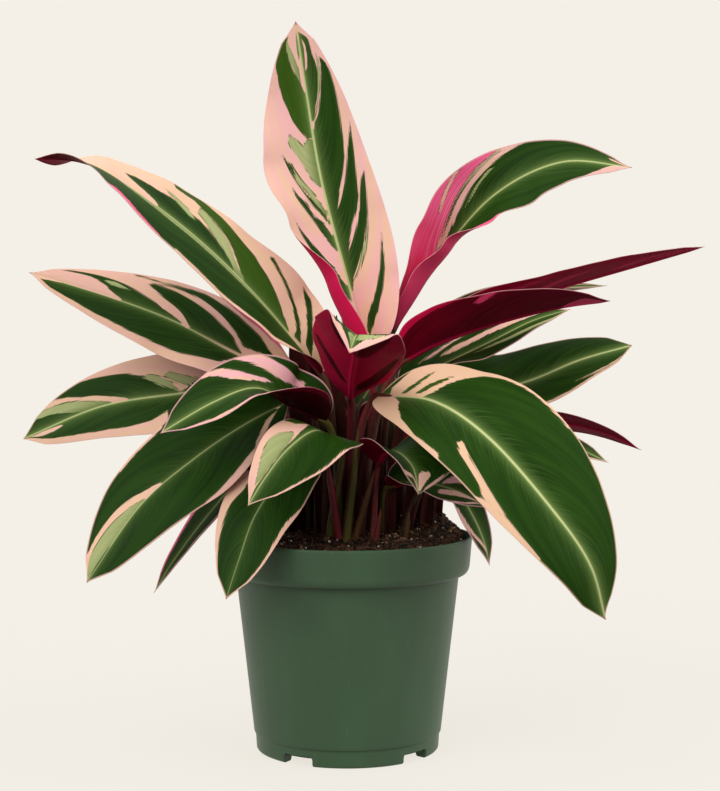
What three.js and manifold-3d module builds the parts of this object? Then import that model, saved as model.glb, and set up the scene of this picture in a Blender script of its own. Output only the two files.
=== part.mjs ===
// Stromanthe triostar in its round grower pot.
// Millimetres, +Z up. The origin is on the pot's axis in the plane of its feet, and -Y is the front.
// Every leaf is one solid: a thin folded blade grown onto its own stalk, which stands in a plain hole
// in the soil. The soil is one plug in the pot, and the pot is one moulded shell with drain notches.
import * as THREE from 'three';
import Module from 'manifold-3d';

const wasm = await Module();
wasm.setup();

// Pot ------------------------------------------------------------------------------------------
const POT_SIDES = 36;
// Radius and height down the outside: recessed floor, feet, step, body, rim and lip.
const POT_OUTSIDE = [
  [49.8, 3],
  [51, 0],
  [57.4, 0],
  [58.6, 1.6],
  [59.1, 11],
  [60.2, 11.8],
  [71.6, 113.2],
  [75.6, 113.6],
  [77.5, 115],
  [78.5, 118],
  [80, 136.9],
  [79.4, 137.5],
  [78.6, 137.5],
  [78.1, 136.8],
];
// Radius and height up the inside, from the floor to the foot of the rim's wall.
const POT_INSIDE = [
  [56.6, 4.5],
  [57.6, 5.2],
  [58.4, 11.5],
  [70.2, 114.6],
  [75.6, 116.2],
  [77, 119],
];
// Notches stand at these degrees either side of the middle of the front foot, and are NOTCH_WIDTH mm wide.
const NOTCH_DEGREES = [-140.5, -39.5, 39.5, 140.5];
const NOTCH_WIDTH = 21.3;
const NOTCH_HEIGHT = 6.25;
const NOTCH_CORNER = 2;
const NOTCH_CORNER_STEPS = 3;
const NOTCH_BELOW = 1;
const NOTCH_INNER_RADIUS = 44;
const NOTCH_DEPTH = 20;
const FOOT_TURN = 7.7;

// Soil -----------------------------------------------------------------------------------------
const SEAT_GAP = 0.4;
const SOIL_EDGE = 132;
const CROWN_RISE = 13;
const CROWN_X = 18;
const CROWN_Y = 26;
const CROWN_SPREAD = 44;
const SOIL_FADE_RADIUS = 78;
const SOIL_RINGS = [77.4, 60, 40, 18];

// Leaves ---------------------------------------------------------------------------------------
const BLADE_THICKNESS = 0.7;
const LEAST_HALF_WIDTH = 0.8;
const ARCH = 18;
const ROOT_SHARE = 0.55;
const CURL_SHARE = 0.9;
const LEAST_TURN = 0.001;
const ROOT_DEPTH = 12;
const STALK_SIDES = 6;
const STALK_STEPS = 6;
const STALK_RISE = 0.42;
const STALK_LEAN = 0.12;
const STALK_RADII = [[0, 3.4], [0.25, 3], [0.8, 2.1], [0.93, 2.4], [1, 2.2]];
const RIB_RADII = [[6, 1.6], [11, 1]];
const HOLE_GAP = 0.35;
const HOLE_RINGS = 3;
const RIB_DIVISIONS = 240;

const POT_GREEN = 0x40573f;
const SOIL_BROWN = 0x2e2019;
const GREEN = 0x3f6a34;
const MAROON = 0x5a1230;
const CRIMSON = 0x8e1c40;
const POT_ROUGHNESS = 0.55;
const SOIL_ROUGHNESS = 0.95;
const LEAF_ROUGHNESS = 0.45;

// One line of a leaf's table: rib holds points along the midrib from the blade's foot to its tip; face
// holds the way that the upper side looks; half holds the greatest half width left and right of the rib;
// foldLeft and foldRight hold how far each half turns up, in degrees; grow and taper shape the outline;
// foot is where the stalk enters the soil; neck is how early the stalk bends into the rib; stalk scales
// its thickness; cells counts the blade's steps along the rib and across each half. The lists of face
// and fold stand at even steps from foot to tip. Where rootShare is given, it tells left and right how
// much of the fold is made at once at the rib.
const LEAVES = [
  {
    name: 'leaf_crown',
    color: GREEN,
    rib: [[14, 3, 255], [-1, 11, 304], [-17, 19, 365], [-27, 27, 423], [-34, 31, 469]],
    face: [[0.1, -1, 0]],
    half: [43, 36],
    foldLeft: [190, 160, 100, 45, 15, 8],
    foldRight: [40, 24, 12, 8, 8, 10],
    rootShare: [0.08, 0.55],
    grow: [0.3, 0.38],
    taper: [0.68, 0.68],
    foot: [13, 3],
    neck: 0.16,
    stalk: 1,
    cells: [12, 4],
  },
  {
    name: 'leaf_upper_left',
    color: GREEN,
    rib: [[-17, -5, 241], [-55, -22, 288], [-93, -40, 326], [-136, -58, 359], [-159, -68, 370],
      [-185, -76, 371]],
    face: [[-0.1, -0.7, 0.7], [-0.1, -0.62, 0.79], [-0.1, -0.62, 0.79], [-0.1, -0.6, 0.8],
      [-0.1, -0.5, 0.86], [-0.2, 0.4, 0.9]],
    half: [26, 35],
    foldLeft: [90, 30, 12, 10, 12, 12],
    foldRight: [90, 30, 12, 8, 8, 12],
    grow: [0.45, 0.45],
    taper: [0.64, 0.64],
    foot: [-9, -3],
    neck: 0.16,
    stalk: 1,
    cells: [12, 3],
  },
  {
    name: 'leaf_mid_left',
    color: GREEN,
    rib: [[-28, 10, 231], [-75, 16, 254], [-113, 22, 274], [-156, 28, 290], [-209, 32, 306]],
    face: [[0, -0.85, 0.5]],
    half: [28, 28],
    foldLeft: [90, 35, 12, 10, 10],
    foldRight: [90, 45, 18, 10, 10],
    grow: [0.45, 0.45],
    taper: [0.8, 0.8],
    foot: [-15, 8],
    neck: 0.16,
    stalk: 1,
    cells: [12, 3],
  },
  {
    name: 'leaf_side_left',
    color: GREEN,
    rib: [[-31, 26, 228], [-71, 34, 231], [-112, 42, 226], [-165, 50, 217], [-218, 54, 195]],
    face: [[0, -0.87, 0.5]],
    half: [30, 31],
    foldLeft: [90, 35, 15, 12, 12],
    foldRight: [90, 35, 15, 12, 12],
    grow: [0.45, 0.45],
    taper: [0.65, 0.65],
    foot: [-20, 17],
    neck: 0.16,
    stalk: 1,
    cells: [12, 3],
  },
  {
    name: 'leaf_front_left',
    color: GREEN,
    rib: [[-14, -34, 212], [-34, -50, 223], [-55, -61, 234], [-80, -72, 226], [-111, -80, 208]],
    face: [[0, -0.68, 0.73]],
    half: [24, 27],
    foldLeft: [115, 92, 42, 18, 15],
    foldRight: [90, 32, 15, 18, 15],
    grow: [0.4, 0.4],
    taper: [0.8, 0.8],
    foot: [-5, -20],
    neck: 0.16,
    stalk: 1,
    cells: [12, 3],
  },
  {
    name: 'leaf_low_left',
    color: GREEN,
    rib: [[-29, -6, 227], [-62, -26, 211], [-94, -46, 190], [-125, -64, 163], [-155, -83, 119]],
    face: [[-0.1, -0.8, 0.6]],
    half: [33, 33],
    foldLeft: [90, 30, 10, 8, 8],
    foldRight: [90, 30, 10, 8, 8],
    grow: [0.45, 0.45],
    taper: [0.72, 0.72],
    foot: [-18, -7],
    neck: 0.16,
    stalk: 1,
    cells: [12, 3],
  },
  {
    name: 'leaf_edge_left',
    color: GREEN,
    rib: [[-36, 0, 201], [-63, -8, 180], [-88, -20, 152], [-107, -32, 127], [-120, -40, 106]],
    face: [[-0.7, -0.55, 0.45]],
    half: [14, 18],
    foldLeft: [90, 30, 14, 12, 12],
    foldRight: [90, 30, 14, 12, 12],
    grow: [0.45, 0.45],
    taper: [0.9, 0.9],
    foot: [-24, 2],
    neck: 0.16,
    stalk: 0.8,
    cells: [10, 2],
  },
  {
    name: 'leaf_drop_left',
    color: GREEN,
    rib: [[-17, -22, 196], [-38, -46, 181], [-55, -70, 158], [-64, -86, 133], [-71, -95, 111]],
    face: [[-0.1, -0.85, 0.5]],
    half: [24, 24],
    foldLeft: [80, 25, 10, 8, 8],
    foldRight: [80, 25, 10, 8, 8],
    grow: [0.45, 0.45],
    taper: [0.7, 0.7],
    foot: [-14, -14],
    neck: 0.16,
    stalk: 1,
    cells: [10, 3],
  },
  {
    name: 'leaf_front_small',
    color: GREEN,
    rib: [[-4, -42, 198], [-18, -70, 209], [-34, -92, 200], [-47, -104, 184], [-57, -111, 168]],
    face: [[0, -0.3, 1], [-0.1, -0.6, 0.8], [0, -0.9, 0.45], [0, -0.9, 0.45]],
    half: [28, 21],
    foldLeft: [15, 5, 5, 8],
    foldRight: [30, 10, 5, 8],
    grow: [0.45, 0.36],
    taper: [0.8, 0.8],
    foot: [-12, -26],
    neck: 0.16,
    stalk: 0.9,
    cells: [10, 3],
  },
  {
    name: 'leaf_front_red',
    color: CRIMSON,
    rib: [[2, -14, 225], [3, -50, 240], [5, -85, 254], [6, -112, 267], [2, -130, 257]],
    face: [[0.29, -0.31, 0.93], [0.19, -0.2, 0.93]],
    half: [30, 37],
    foldLeft: [50, 33, 30, 20, 30],
    foldRight: [25, 37, 44, 34, 46],
    grow: [0.62, 0.6],
    taper: [0.47, 0.73],
    foot: [1, -6],
    neck: 0.16,
    stalk: 1,
    cells: [12, 3],
  },
  {
    name: 'leaf_upper_right',
    color: GREEN,
    rib: [[30, 40, 268], [57, 38, 311], [94, 31, 355], [138, 22, 377], [183, 12, 373]],
    face: [[-0.05, -0.95, 0.3], [-0.05, -0.8, 0.6], [-0.05, -0.75, 0.65]],
    half: [32, 37],
    foldLeft: [95, 88, 72, 50, 30, 22, 22],
    foldRight: [105, 100, 82, 46, 18, 6, 6],
    grow: [0.4, 0.4],
    taper: [0.9, 0.9],
    foot: [22, 19],
    neck: 0.16,
    stalk: 1,
    cells: [12, 3],
  },
  {
    name: 'leaf_red_right',
    color: MAROON,
    rib: [[35, -10, 248], [58, -23, 261], [95, -36, 274], [131, -46, 283], [161, -50, 287]],
    face: [[0, 0.1, 1]],
    half: [26, 28],
    foldLeft: [70, 45, 25, 22, 20],
    foldRight: [70, 55, 45, 42, 30],
    grow: [0.45, 0.45],
    taper: [0.7, 0.7],
    foot: [7, -22],
    neck: 0.16,
    stalk: 1,
    cells: [12, 3],
  },
  {
    name: 'leaf_far_right',
    color: MAROON,
    rib: [[38, 33, 256], [87, 38, 279], [140, 40, 296], [189, 38, 310], [234, 32, 323]],
    face: [[0, 0.1, 1]],
    half: [24, 25],
    foldLeft: [70, 40, 22, 20, 20],
    foldRight: [70, 40, 30, 30, 25],
    grow: [0.45, 0.45],
    taper: [0.7, 0.7],
    foot: [31, 20],
    neck: 0.16,
    stalk: 1,
    cells: [12, 3],
  },
  {
    name: 'leaf_striped_right',
    color: GREEN,
    rib: [[34, 4, 231], [59, 6, 245], [92, 6, 261], [118, 6, 274], [143, 5, 282]],
    face: [[-0.2, -0.45, 0.87]],
    half: [21, 21],
    foldLeft: [80, 35, 20, 15, 15],
    foldRight: [80, 35, 15, 12, 12],
    grow: [0.45, 0.45],
    taper: [0.8, 0.8],
    foot: [22, 5],
    neck: 0.16,
    stalk: 0.9,
    cells: [11, 2],
  },
  {
    name: 'leaf_side_right',
    color: GREEN,
    rib: [[42, 24, 219], [74, 33, 223], [119, 41, 234], [154, 45, 248], [189, 46, 258]],
    face: [[0, -0.6, 0.8]],
    half: [33, 27],
    foldLeft: [70, 30, 10, 8, 8],
    foldRight: [80, 35, 10, 8, 8],
    grow: [0.4, 0.45],
    taper: [0.6, 0.6],
    foot: [30, 13],
    neck: 0.16,
    stalk: 1,
    cells: [10, 3],
  },
  {
    name: 'leaf_broad_right',
    color: GREEN,
    rib: [[20, -30, 228], [53, -64, 226], [85, -90, 205], [121, -106, 164], [142, -108, 133],
      [152, -102, 100]],
    face: [[0, -0.6, 0.8], [0.1, -0.85, 0.5]],
    half: [47, 34],
    foldLeft: [50, 12, 8, 10, 8],
    foldRight: [15, 2, 6, 8, 8],
    grow: [0.9, 0.48],
    taper: [1.15, 0.62],
    foot: [-1, -28],
    neck: 0.16,
    stalk: 1,
    cells: [12, 3],
  },
  {
    name: 'leaf_thin_right',
    color: MAROON,
    rib: [[53, 13, 202], [100, 24, 204], [139, 27, 207], [168, 25, 201], [192, 22, 190]],
    face: [[0, 0.5, 0.86]],
    half: [17, 18],
    foldLeft: [80, 30, 15, 12],
    foldRight: [80, 25, 10, 8],
    grow: [0.45, 0.45],
    taper: [0.9, 0.9],
    foot: [38, 8],
    neck: 0.16,
    stalk: 0.8,
    cells: [10, 2],
  },
  {
    name: 'leaf_tuck_right',
    color: GREEN,
    rib: [[69, 0, 198], [111, 4, 201], [143, 3, 194], [167, -3, 184]],
    face: [[0, -0.5, 0.87]],
    half: [16, 15],
    foldLeft: [80, 30, 15, 12],
    foldRight: [80, 30, 15, 12],
    grow: [0.45, 0.45],
    taper: [0.8, 0.8],
    foot: [38, 1],
    neck: 0.16,
    stalk: 0.75,
    cells: [9, 2],
  },
  {
    name: 'leaf_bud_front',
    color: GREEN,
    rib: [[20, -24, 185], [24, -38, 193], [32, -56, 194], [40, -70, 186], [43, -76, 171]],
    face: [[0.1, -0.45, 0.9]],
    half: [34, 18],
    foldLeft: [50, 30, 20, 12],
    foldRight: [50, 45, 32, 15],
    grow: [0.6, 0.25],
    taper: [0.6, 0.8],
    foot: [16, -30],
    neck: 0.16,
    stalk: 0.75,
    cells: [9, 3],
  },
  {
    name: 'leaf_low_right',
    color: GREEN,
    rib: [[26, -18, 170], [44, -32, 174], [65, -46, 171], [87, -58, 161]],
    face: [[-0.1, -0.45, 0.9]],
    half: [20, 17],
    foldLeft: [80, 35, 15, 12],
    foldRight: [80, 35, 15, 12],
    grow: [0.45, 0.45],
    taper: [0.7, 0.7],
    foot: [23, -13],
    neck: 0.16,
    stalk: 0.75,
    cells: [9, 2],
  },
  {
    name: 'leaf_hang_right',
    color: GREEN,
    rib: [[56, -8, 177], [70, -20, 166], [80, -28, 150], [86, -32, 135], [89, -32, 122]],
    face: [[0.5, -0.8, 0.3]],
    half: [11, 12],
    foldLeft: [80, 30, 12, 10],
    foldRight: [80, 30, 12, 10],
    grow: [0.45, 0.45],
    taper: [0.8, 0.8],
    foot: [33, -8],
    neck: 0.16,
    stalk: 0.7,
    cells: [9, 2],
  },
  {
    name: 'leaf_behind_right',
    color: GREEN,
    rib: [[38, 52, 255], [69, 61, 272], [106, 65, 289], [143, 66, 296], [175, 66, 298]],
    face: [[0, -0.45, 0.9]],
    half: [16, 15],
    foldLeft: [80, 35, 15, 12],
    foldRight: [80, 35, 15, 12],
    grow: [0.45, 0.45],
    taper: [0.9, 0.9],
    foot: [36, 28],
    neck: 0.06,
    stalk: 0.9,
    cells: [9, 2],
  },
  {
    name: 'leaf_back_tall',
    color: GREEN,
    rib: [[3, 30, 239], [5, 60, 288], [8, 97, 333], [9, 132, 377]],
    face: [[0, -0.6, 0.8], [0, -0.8, 0.6]],
    half: [11, 25],
    foldLeft: [80, 30, 12, 10],
    foldRight: [80, 30, 12, 10],
    grow: [0.45, 0.45],
    taper: [0.75, 0.75],
    foot: [4, 22],
    neck: 0.16,
    stalk: 1,
    cells: [10, 2],
  },
  {
    name: 'leaf_back_drop_left',
    color: GREEN,
    rib: [[-13, 46, 218], [-31, 88, 239], [-39, 120, 216], [-43, 138, 177], [-43, 143, 137]],
    face: [[0, 0, 1], [0, 0.8, 0.6]],
    half: [30, 28],
    foldLeft: [60, 15, 10, 10],
    foldRight: [80, 30, 12, 10],
    grow: [0.45, 0.45],
    taper: [0.65, 0.65],
    foot: [-9, 37],
    neck: 0.16,
    stalk: 1,
    cells: [12, 2],
  },
  {
    name: 'leaf_back_drop_right',
    color: GREEN,
    rib: [[6, 45, 216], [25, 86, 239], [42, 116, 217], [50, 134, 174], [53, 136, 130]],
    face: [[0, 0, 1], [0, 0.8, 0.6]],
    half: [27, 28],
    foldLeft: [80, 30, 12, 10],
    foldRight: [15, 5, 8, 8],
    grow: [0.6, 0.9],
    taper: [0.65, 0.65],
    foot: [4, 41],
    neck: 0.16,
    stalk: 1,
    cells: [12, 2],
  },
  {
    name: 'leaf_back_left',
    color: GREEN,
    rib: [[-25, 32, 206], [-59, 70, 212], [-96, 104, 196], [-123, 122, 166]],
    face: [[-0.2, 0.2, 0.95]],
    half: [25, 25],
    foldLeft: [80, 30, 12, 10],
    foldRight: [80, 30, 12, 10],
    grow: [0.45, 0.45],
    taper: [0.75, 0.75],
    foot: [-15, 25],
    neck: 0.16,
    stalk: 1,
    cells: [9, 2],
  },
  {
    name: 'leaf_back_right',
    color: GREEN,
    rib: [[25, 50, 205], [66, 78, 210], [113, 107, 195], [156, 123, 152]],
    face: [[0.2, 0.2, 0.95]],
    half: [26, 27],
    foldLeft: [80, 30, 12, 10],
    foldRight: [70, 25, 12, 10],
    grow: [0.8, 0.8],
    taper: [0.75, 0.75],
    foot: [24, 35],
    neck: 0.05,
    stalk: 1,
    cells: [9, 2],
  },
  {
    name: 'leaf_back_upper_right',
    color: GREEN,
    rib: [[26, 56, 237], [56, 92, 260], [104, 124, 276], [148, 140, 284]],
    face: [[0, 0.1, 1]],
    half: [24, 24],
    foldLeft: [80, 30, 12, 10],
    foldRight: [80, 30, 12, 10],
    grow: [0.6, 0.6],
    taper: [0.75, 0.75],
    foot: [13, 47],
    neck: 0.1,
    stalk: 1,
    cells: [10, 2],
  },
  {
    name: 'leaf_back_upper_left',
    color: GREEN,
    rib: [[-12, 36, 237], [-43, 78, 266], [-78, 116, 295], [-110, 142, 319]],
    face: [[0, -0.2, 1]],
    half: [24, 24],
    foldLeft: [80, 30, 12, 10],
    foldRight: [80, 30, 12, 10],
    grow: [0.45, 0.45],
    taper: [0.75, 0.75],
    foot: [-4, 27],
    neck: 0.16,
    stalk: 1,
    cells: [10, 2],
  },
  {
    name: 'leaf_back_middle',
    color: GREEN,
    rib: [[-1, 52, 202], [2, 68, 218], [5, 88, 218], [7, 102, 191], [9, 108, 128]],
    face: [[0, 0, 1], [0, 0.8, 0.6]],
    half: [26, 26],
    foldLeft: [60, 20, 10, 10],
    foldRight: [60, 20, 10, 10],
    grow: [0.8, 0.8],
    taper: [0.65, 0.65],
    foot: [-6, 48],
    neck: 0.16,
    stalk: 1,
    cells: [10, 2],
  },
];

// Solids from lists of points and triangles ------------------------------------------------------
function solidFrom(points, triangles) {
  const vertProperties = new Float32Array(points.flatMap((p) => [p.x, p.y, p.z]));
  const triVerts = new Uint32Array(triangles.flat());
  return new wasm.Manifold(new wasm.Mesh({ numProp: 3, vertProperties, triVerts }));
}

function geometryFrom(solid) {
  const mesh = solid.getMesh();
  const geometry = new THREE.BufferGeometry();
  geometry.setAttribute('position', new THREE.BufferAttribute(mesh.vertProperties, 3));
  geometry.setIndex(new THREE.BufferAttribute(mesh.triVerts, 1));
  geometry.computeVertexNormals();
  return geometry;
}

function meshFrom(name, solid, color, roughness) {
  const material = new THREE.MeshStandardMaterial({ color, roughness, metalness: 0 });
  const mesh = new THREE.Mesh(geometryFrom(solid), material);
  mesh.name = name;
  return mesh;
}

// Rings of equal size joined into a closed skin. Each ring turns anticlockwise seen from its far side.
function skinTriangles(ringCount, sides, startPole, endPole) {
  const triangles = [];
  for (let i = 0; i < ringCount - 1; i += 1) {
    for (let k = 0; k < sides; k += 1) {
      const a = i * sides + k;
      const b = i * sides + ((k + 1) % sides);
      triangles.push([a, b, b + sides], [a, b + sides, a + sides]);
    }
  }
  const last = (ringCount - 1) * sides;
  for (let k = 0; k < sides; k += 1) {
    const next = (k + 1) % sides;
    triangles.push([startPole, next, k], [endPole, last + k, last + next]);
  }
  return triangles;
}

// Soil and pot -----------------------------------------------------------------------------------
// The soil is level at the wall and heaped round the crown.
function soilHeight(x, y) {
  const away = ((x - CROWN_X) ** 2 + (y - CROWN_Y) ** 2) / (2 * CROWN_SPREAD ** 2);
  const fade = 1 - (Math.hypot(x, y) / SOIL_FADE_RADIUS) ** 6;
  return SOIL_EDGE + CROWN_RISE * Math.exp(-away) * fade;
}

function ringAt(radius, height) {
  const ring = [];
  for (let k = 0; k < POT_SIDES; k += 1) {
    const angle = (2 * Math.PI * k) / POT_SIDES;
    const x = radius * Math.cos(angle);
    const y = radius * Math.sin(angle);
    ring.push(new THREE.Vector3(x, y, height(x, y)));
  }
  return ring;
}

function turnedSolid(profile) {
  const points = profile.flatMap(([radius, z]) => ringAt(radius, () => z));
  const rings = profile.length;
  points.push(new THREE.Vector3(0, 0, profile[0][1]), new THREE.Vector3(0, 0, profile[rings - 1][1]));
  return solidFrom(points, skinTriangles(rings, POT_SIDES, points.length - 2, points.length - 1));
}

function potShell() {
  return turnedSolid([...POT_OUTSIDE, ...[...POT_INSIDE].reverse()]);
}

// One drain notch: a round cornered arch pushed outwards through the foot ring and the floor's edge.
function notchCutter(turn) {
  const half = NOTCH_WIDTH / 2;
  const rise = NOTCH_HEIGHT;
  const shape = new THREE.Shape();
  shape.moveTo(-half, -NOTCH_BELOW);
  shape.lineTo(half, -NOTCH_BELOW);
  shape.lineTo(half, rise - NOTCH_CORNER);
  shape.absarc(half - NOTCH_CORNER, rise - NOTCH_CORNER, NOTCH_CORNER, 0, Math.PI / 2, false);
  shape.absarc(NOTCH_CORNER - half, rise - NOTCH_CORNER, NOTCH_CORNER, Math.PI / 2, Math.PI, false);
  shape.closePath();
  const outline = shape.getPoints(NOTCH_CORNER_STEPS).slice(0, -1);
  const place = new THREE.Matrix4().makeRotationZ(turn);
  const points = [NOTCH_INNER_RADIUS, NOTCH_INNER_RADIUS + NOTCH_DEPTH].flatMap((radius) =>
    outline.map((p) => new THREE.Vector3(radius, p.x, p.y).applyMatrix4(place)));
  const middle = [NOTCH_INNER_RADIUS, NOTCH_INNER_RADIUS + NOTCH_DEPTH].map((radius) =>
    new THREE.Vector3(radius, 0, rise / 2).applyMatrix4(place));
  points.push(...middle);
  return solidFrom(points, skinTriangles(2, outline.length, points.length - 2, points.length - 1));
}

function potSolid() {
  let pot = potShell();
  NOTCH_DEGREES.forEach((degrees) => {
    pot = pot.subtract(notchCutter(THREE.MathUtils.degToRad(degrees + FOOT_TURN - 90)));
  });
  return pot;
}

// The plug follows the pot's inside at a small gap and carries the heaped surface on top.
function soilPlug() {
  const rings = POT_INSIDE.map(([radius, z]) => ringAt(radius - SEAT_GAP, () => z + SEAT_GAP));
  SOIL_RINGS.forEach((radius) => rings.push(ringAt(radius, soilHeight)));
  const points = rings.flat();
  const underside = POT_INSIDE[0][1] + SEAT_GAP;
  points.push(new THREE.Vector3(0, 0, underside), new THREE.Vector3(0, 0, soilHeight(0, 0)));
  return solidFrom(points, skinTriangles(rings.length, POT_SIDES, points.length - 2, points.length - 1));
}

// Leaf blade -------------------------------------------------------------------------------------
// Value of a list that stands at even steps, eased between its steps.
function stationed(values, s) {
  const at = s * (values.length - 1);
  const k = Math.min(Math.floor(at), Math.max(values.length - 2, 0));
  const ease = THREE.MathUtils.smoothstep(at - k, 0, 1);
  const next = values[Math.min(k + 1, values.length - 1)];
  return values[k] + (next - values[k]) * ease;
}

function stationedVector(values, s) {
  return new THREE.Vector3(...[0, 1, 2].map((axis) => stationed(values.map((v) => v[axis]), s)));
}

// Half width as a share of the greatest: a power of the way from the foot times a power of the way to
// the tip, scaled to reach 1 where it is widest.
function outline(s, grow, taper) {
  const widest = grow / (grow + taper);
  return (s / widest) ** grow * ((1 - s) / (1 - widest)) ** taper;
}

function ribCurve(leaf) {
  const points = leaf.rib.map((p) => new THREE.Vector3(...p));
  const curve = new THREE.CatmullRomCurve3(points, false, 'catmullrom', 0.5);
  curve.arcLengthDivisions = RIB_DIVISIONS;
  return curve;
}

function ribFrame(leaf, curve, s) {
  const along = curve.getTangentAt(s);
  const face = stationedVector(leaf.face, s);
  const up = face.addScaledVector(along, -face.dot(along)).normalize();
  return { point: curve.getPointAt(s), up, right: new THREE.Vector3().crossVectors(along, up) };
}

// Each half is bent like a circular arc across the blade: it leaves the rib at the root angle and keeps
// turning by the same amount for every step towards the margin.
function halfArc(leaf, s, side, share) {
  const index = side < 0 ? 0 : 1;
  const fold = THREE.MathUtils.degToRad(stationed(side < 0 ? leaf.foldLeft : leaf.foldRight, s));
  const widthShare = outline(s, leaf.grow[index], leaf.taper[index]);
  const width = Math.max(leaf.half[index] * widthShare, LEAST_HALF_WIDTH);
  const root = (leaf.rootShare ? leaf.rootShare[index] : ROOT_SHARE) * fold;
  const turn = CURL_SHARE * fold - THREE.MathUtils.degToRad(ARCH);
  const bend = Math.abs(turn) < LEAST_TURN ? LEAST_TURN : turn;
  const slope = root + bend * share;
  const out = (width * (Math.sin(slope) - Math.sin(root))) / bend;
  const lift = (width * (Math.cos(root) - Math.cos(slope))) / bend;
  return { out: side * out, lift, slope };
}

function bladeSpot(leaf, frame, s, across) {
  const side = across < 0 ? -1 : 1;
  const arc = halfArc(leaf, s, side, Math.abs(across));
  const point = frame.point.clone().addScaledVector(frame.right, arc.out).addScaledVector(frame.up, arc.lift);
  const normal = new THREE.Vector3();
  const sides = across === 0 ? [-1, 1] : [side];
  sides.forEach((way) => {
    const { slope } = halfArc(leaf, s, way, Math.abs(across));
    normal.addScaledVector(frame.up, Math.cos(slope)).addScaledVector(frame.right, -way * Math.sin(slope));
  });
  return { point, normal: normal.normalize() };
}

// Two faces of the same triangles and a strip round the margin. The diagonals run from the rib towards
// the margin on both halves.
function bladeTriangles(rows, columns) {
  const across = 2 * columns + 1;
  const size = (rows + 1) * across;
  const at = (i, j) => i * across + j;
  const triangles = [];
  for (let i = 0; i < rows; i += 1) {
    for (let j = 0; j < across - 1; j += 1) {
      const a = at(i, j);
      const b = at(i + 1, j);
      const c = at(i + 1, j + 1);
      const d = at(i, j + 1);
      const pair = j < columns ? [[a, d, b], [d, c, b]] : [[a, d, c], [a, c, b]];
      pair.forEach(([p, q, r]) => triangles.push([p, q, r], [size + r, size + q, size + p]));
    }
  }
  const margin = [];
  for (let i = 0; i <= rows; i += 1) margin.push(at(i, 0));
  for (let j = 1; j < across; j += 1) margin.push(at(rows, j));
  for (let i = rows - 1; i >= 0; i -= 1) margin.push(at(i, across - 1));
  for (let j = across - 2; j > 0; j -= 1) margin.push(at(0, j));
  margin.forEach((a, k) => {
    const b = margin[(k + 1) % margin.length];
    triangles.push([a, b, size + b], [a, size + b, size + a]);
  });
  return triangles;
}

function bladeSolid(leaf, curve) {
  const [rows, columns] = leaf.cells;
  const upper = [];
  const lower = [];
  for (let i = 0; i <= rows; i += 1) {
    const s = i / rows;
    const frame = ribFrame(leaf, curve, s);
    for (let j = -columns; j <= columns; j += 1) {
      const { point, normal } = bladeSpot(leaf, frame, s, j / columns);
      upper.push(point.clone().addScaledVector(normal, BLADE_THICKNESS / 2));
      lower.push(point.clone().addScaledVector(normal, -BLADE_THICKNESS / 2));
    }
  }
  return solidFrom([...upper, ...lower], bladeTriangles(rows, columns));
}

// Leaf stalk -------------------------------------------------------------------------------------
function stalkRadius(u) {
  const k = Math.max(STALK_RADII.findIndex(([at]) => at >= u), 1);
  const [from, start] = STALK_RADII[k - 1];
  const [to, end] = STALK_RADII[k];
  return start + ((end - start) * (u - from)) / (to - from);
}

// The stalk rises out of the soil, swings over to the blade and runs on a little way under its rib.
function stalkPath(leaf, curve) {
  const [x, y] = leaf.foot;
  const root = new THREE.Vector3(x, y, soilHeight(x, y) - ROOT_DEPTH);
  const base = curve.getPointAt(0);
  const reach = base.clone().sub(root);
  const span = reach.length();
  const lean = new THREE.Vector3(STALK_LEAN * reach.x, STALK_LEAN * reach.y, STALK_RISE * span);
  const rise = root.clone().add(lean);
  const bend = base.clone().addScaledVector(curve.getTangentAt(0), -leaf.neck * span);
  const stem = new THREE.CubicBezierCurve3(root, rise, bend, base);
  const points = stem.getPoints(STALK_STEPS);
  const radii = points.map((_, k) => leaf.stalk * stalkRadius(k / STALK_STEPS));
  RIB_RADII.forEach(([distance, radius]) => {
    points.push(curve.getPointAt(distance / curve.getLength()));
    radii.push(radius);
  });
  return { points, radii };
}

// A tube with flat sides, its rings carried along the path without twist.
function tubeSolid(points, radii) {
  const ringPoints = [];
  const side = new THREE.Vector3(1, 0, 0);
  points.forEach((centre, i) => {
    const before = points[Math.max(i - 1, 0)];
    const after = points[Math.min(i + 1, points.length - 1)];
    const along = after.clone().sub(before).normalize();
    side.addScaledVector(along, -side.dot(along)).normalize();
    const across = new THREE.Vector3().crossVectors(along, side);
    for (let k = 0; k < STALK_SIDES; k += 1) {
      const angle = (2 * Math.PI * k) / STALK_SIDES;
      const arm = side.clone().multiplyScalar(Math.cos(angle)).addScaledVector(across, Math.sin(angle));
      ringPoints.push(centre.clone().addScaledVector(arm, radii[i]));
    }
  });
  const all = [...ringPoints, points[0], points[points.length - 1]];
  return solidFrom(all, skinTriangles(points.length, STALK_SIDES, all.length - 2, all.length - 1));
}

function leafSolid(leaf) {
  const curve = ribCurve(leaf);
  const { points, radii } = stalkPath(leaf, curve);
  return bladeSolid(leaf, curve).add(tubeSolid(points, radii));
}

// The hole that a stalk stands in: the stalk's own foot, a little wider and deeper.
function stalkHole(leaf) {
  const { points, radii } = stalkPath(leaf, ribCurve(leaf));
  const path = points.slice(0, HOLE_RINGS);
  const below = path[0].clone().sub(path[1]).setLength(HOLE_GAP);
  path[0] = path[0].clone().add(below);
  return tubeSolid(path, radii.slice(0, HOLE_RINGS).map((radius) => radius + HOLE_GAP));
}

function soilSolid() {
  let soil = soilPlug();
  LEAVES.forEach((leaf) => {
    soil = soil.subtract(stalkHole(leaf));
  });
  return soil;
}

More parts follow.
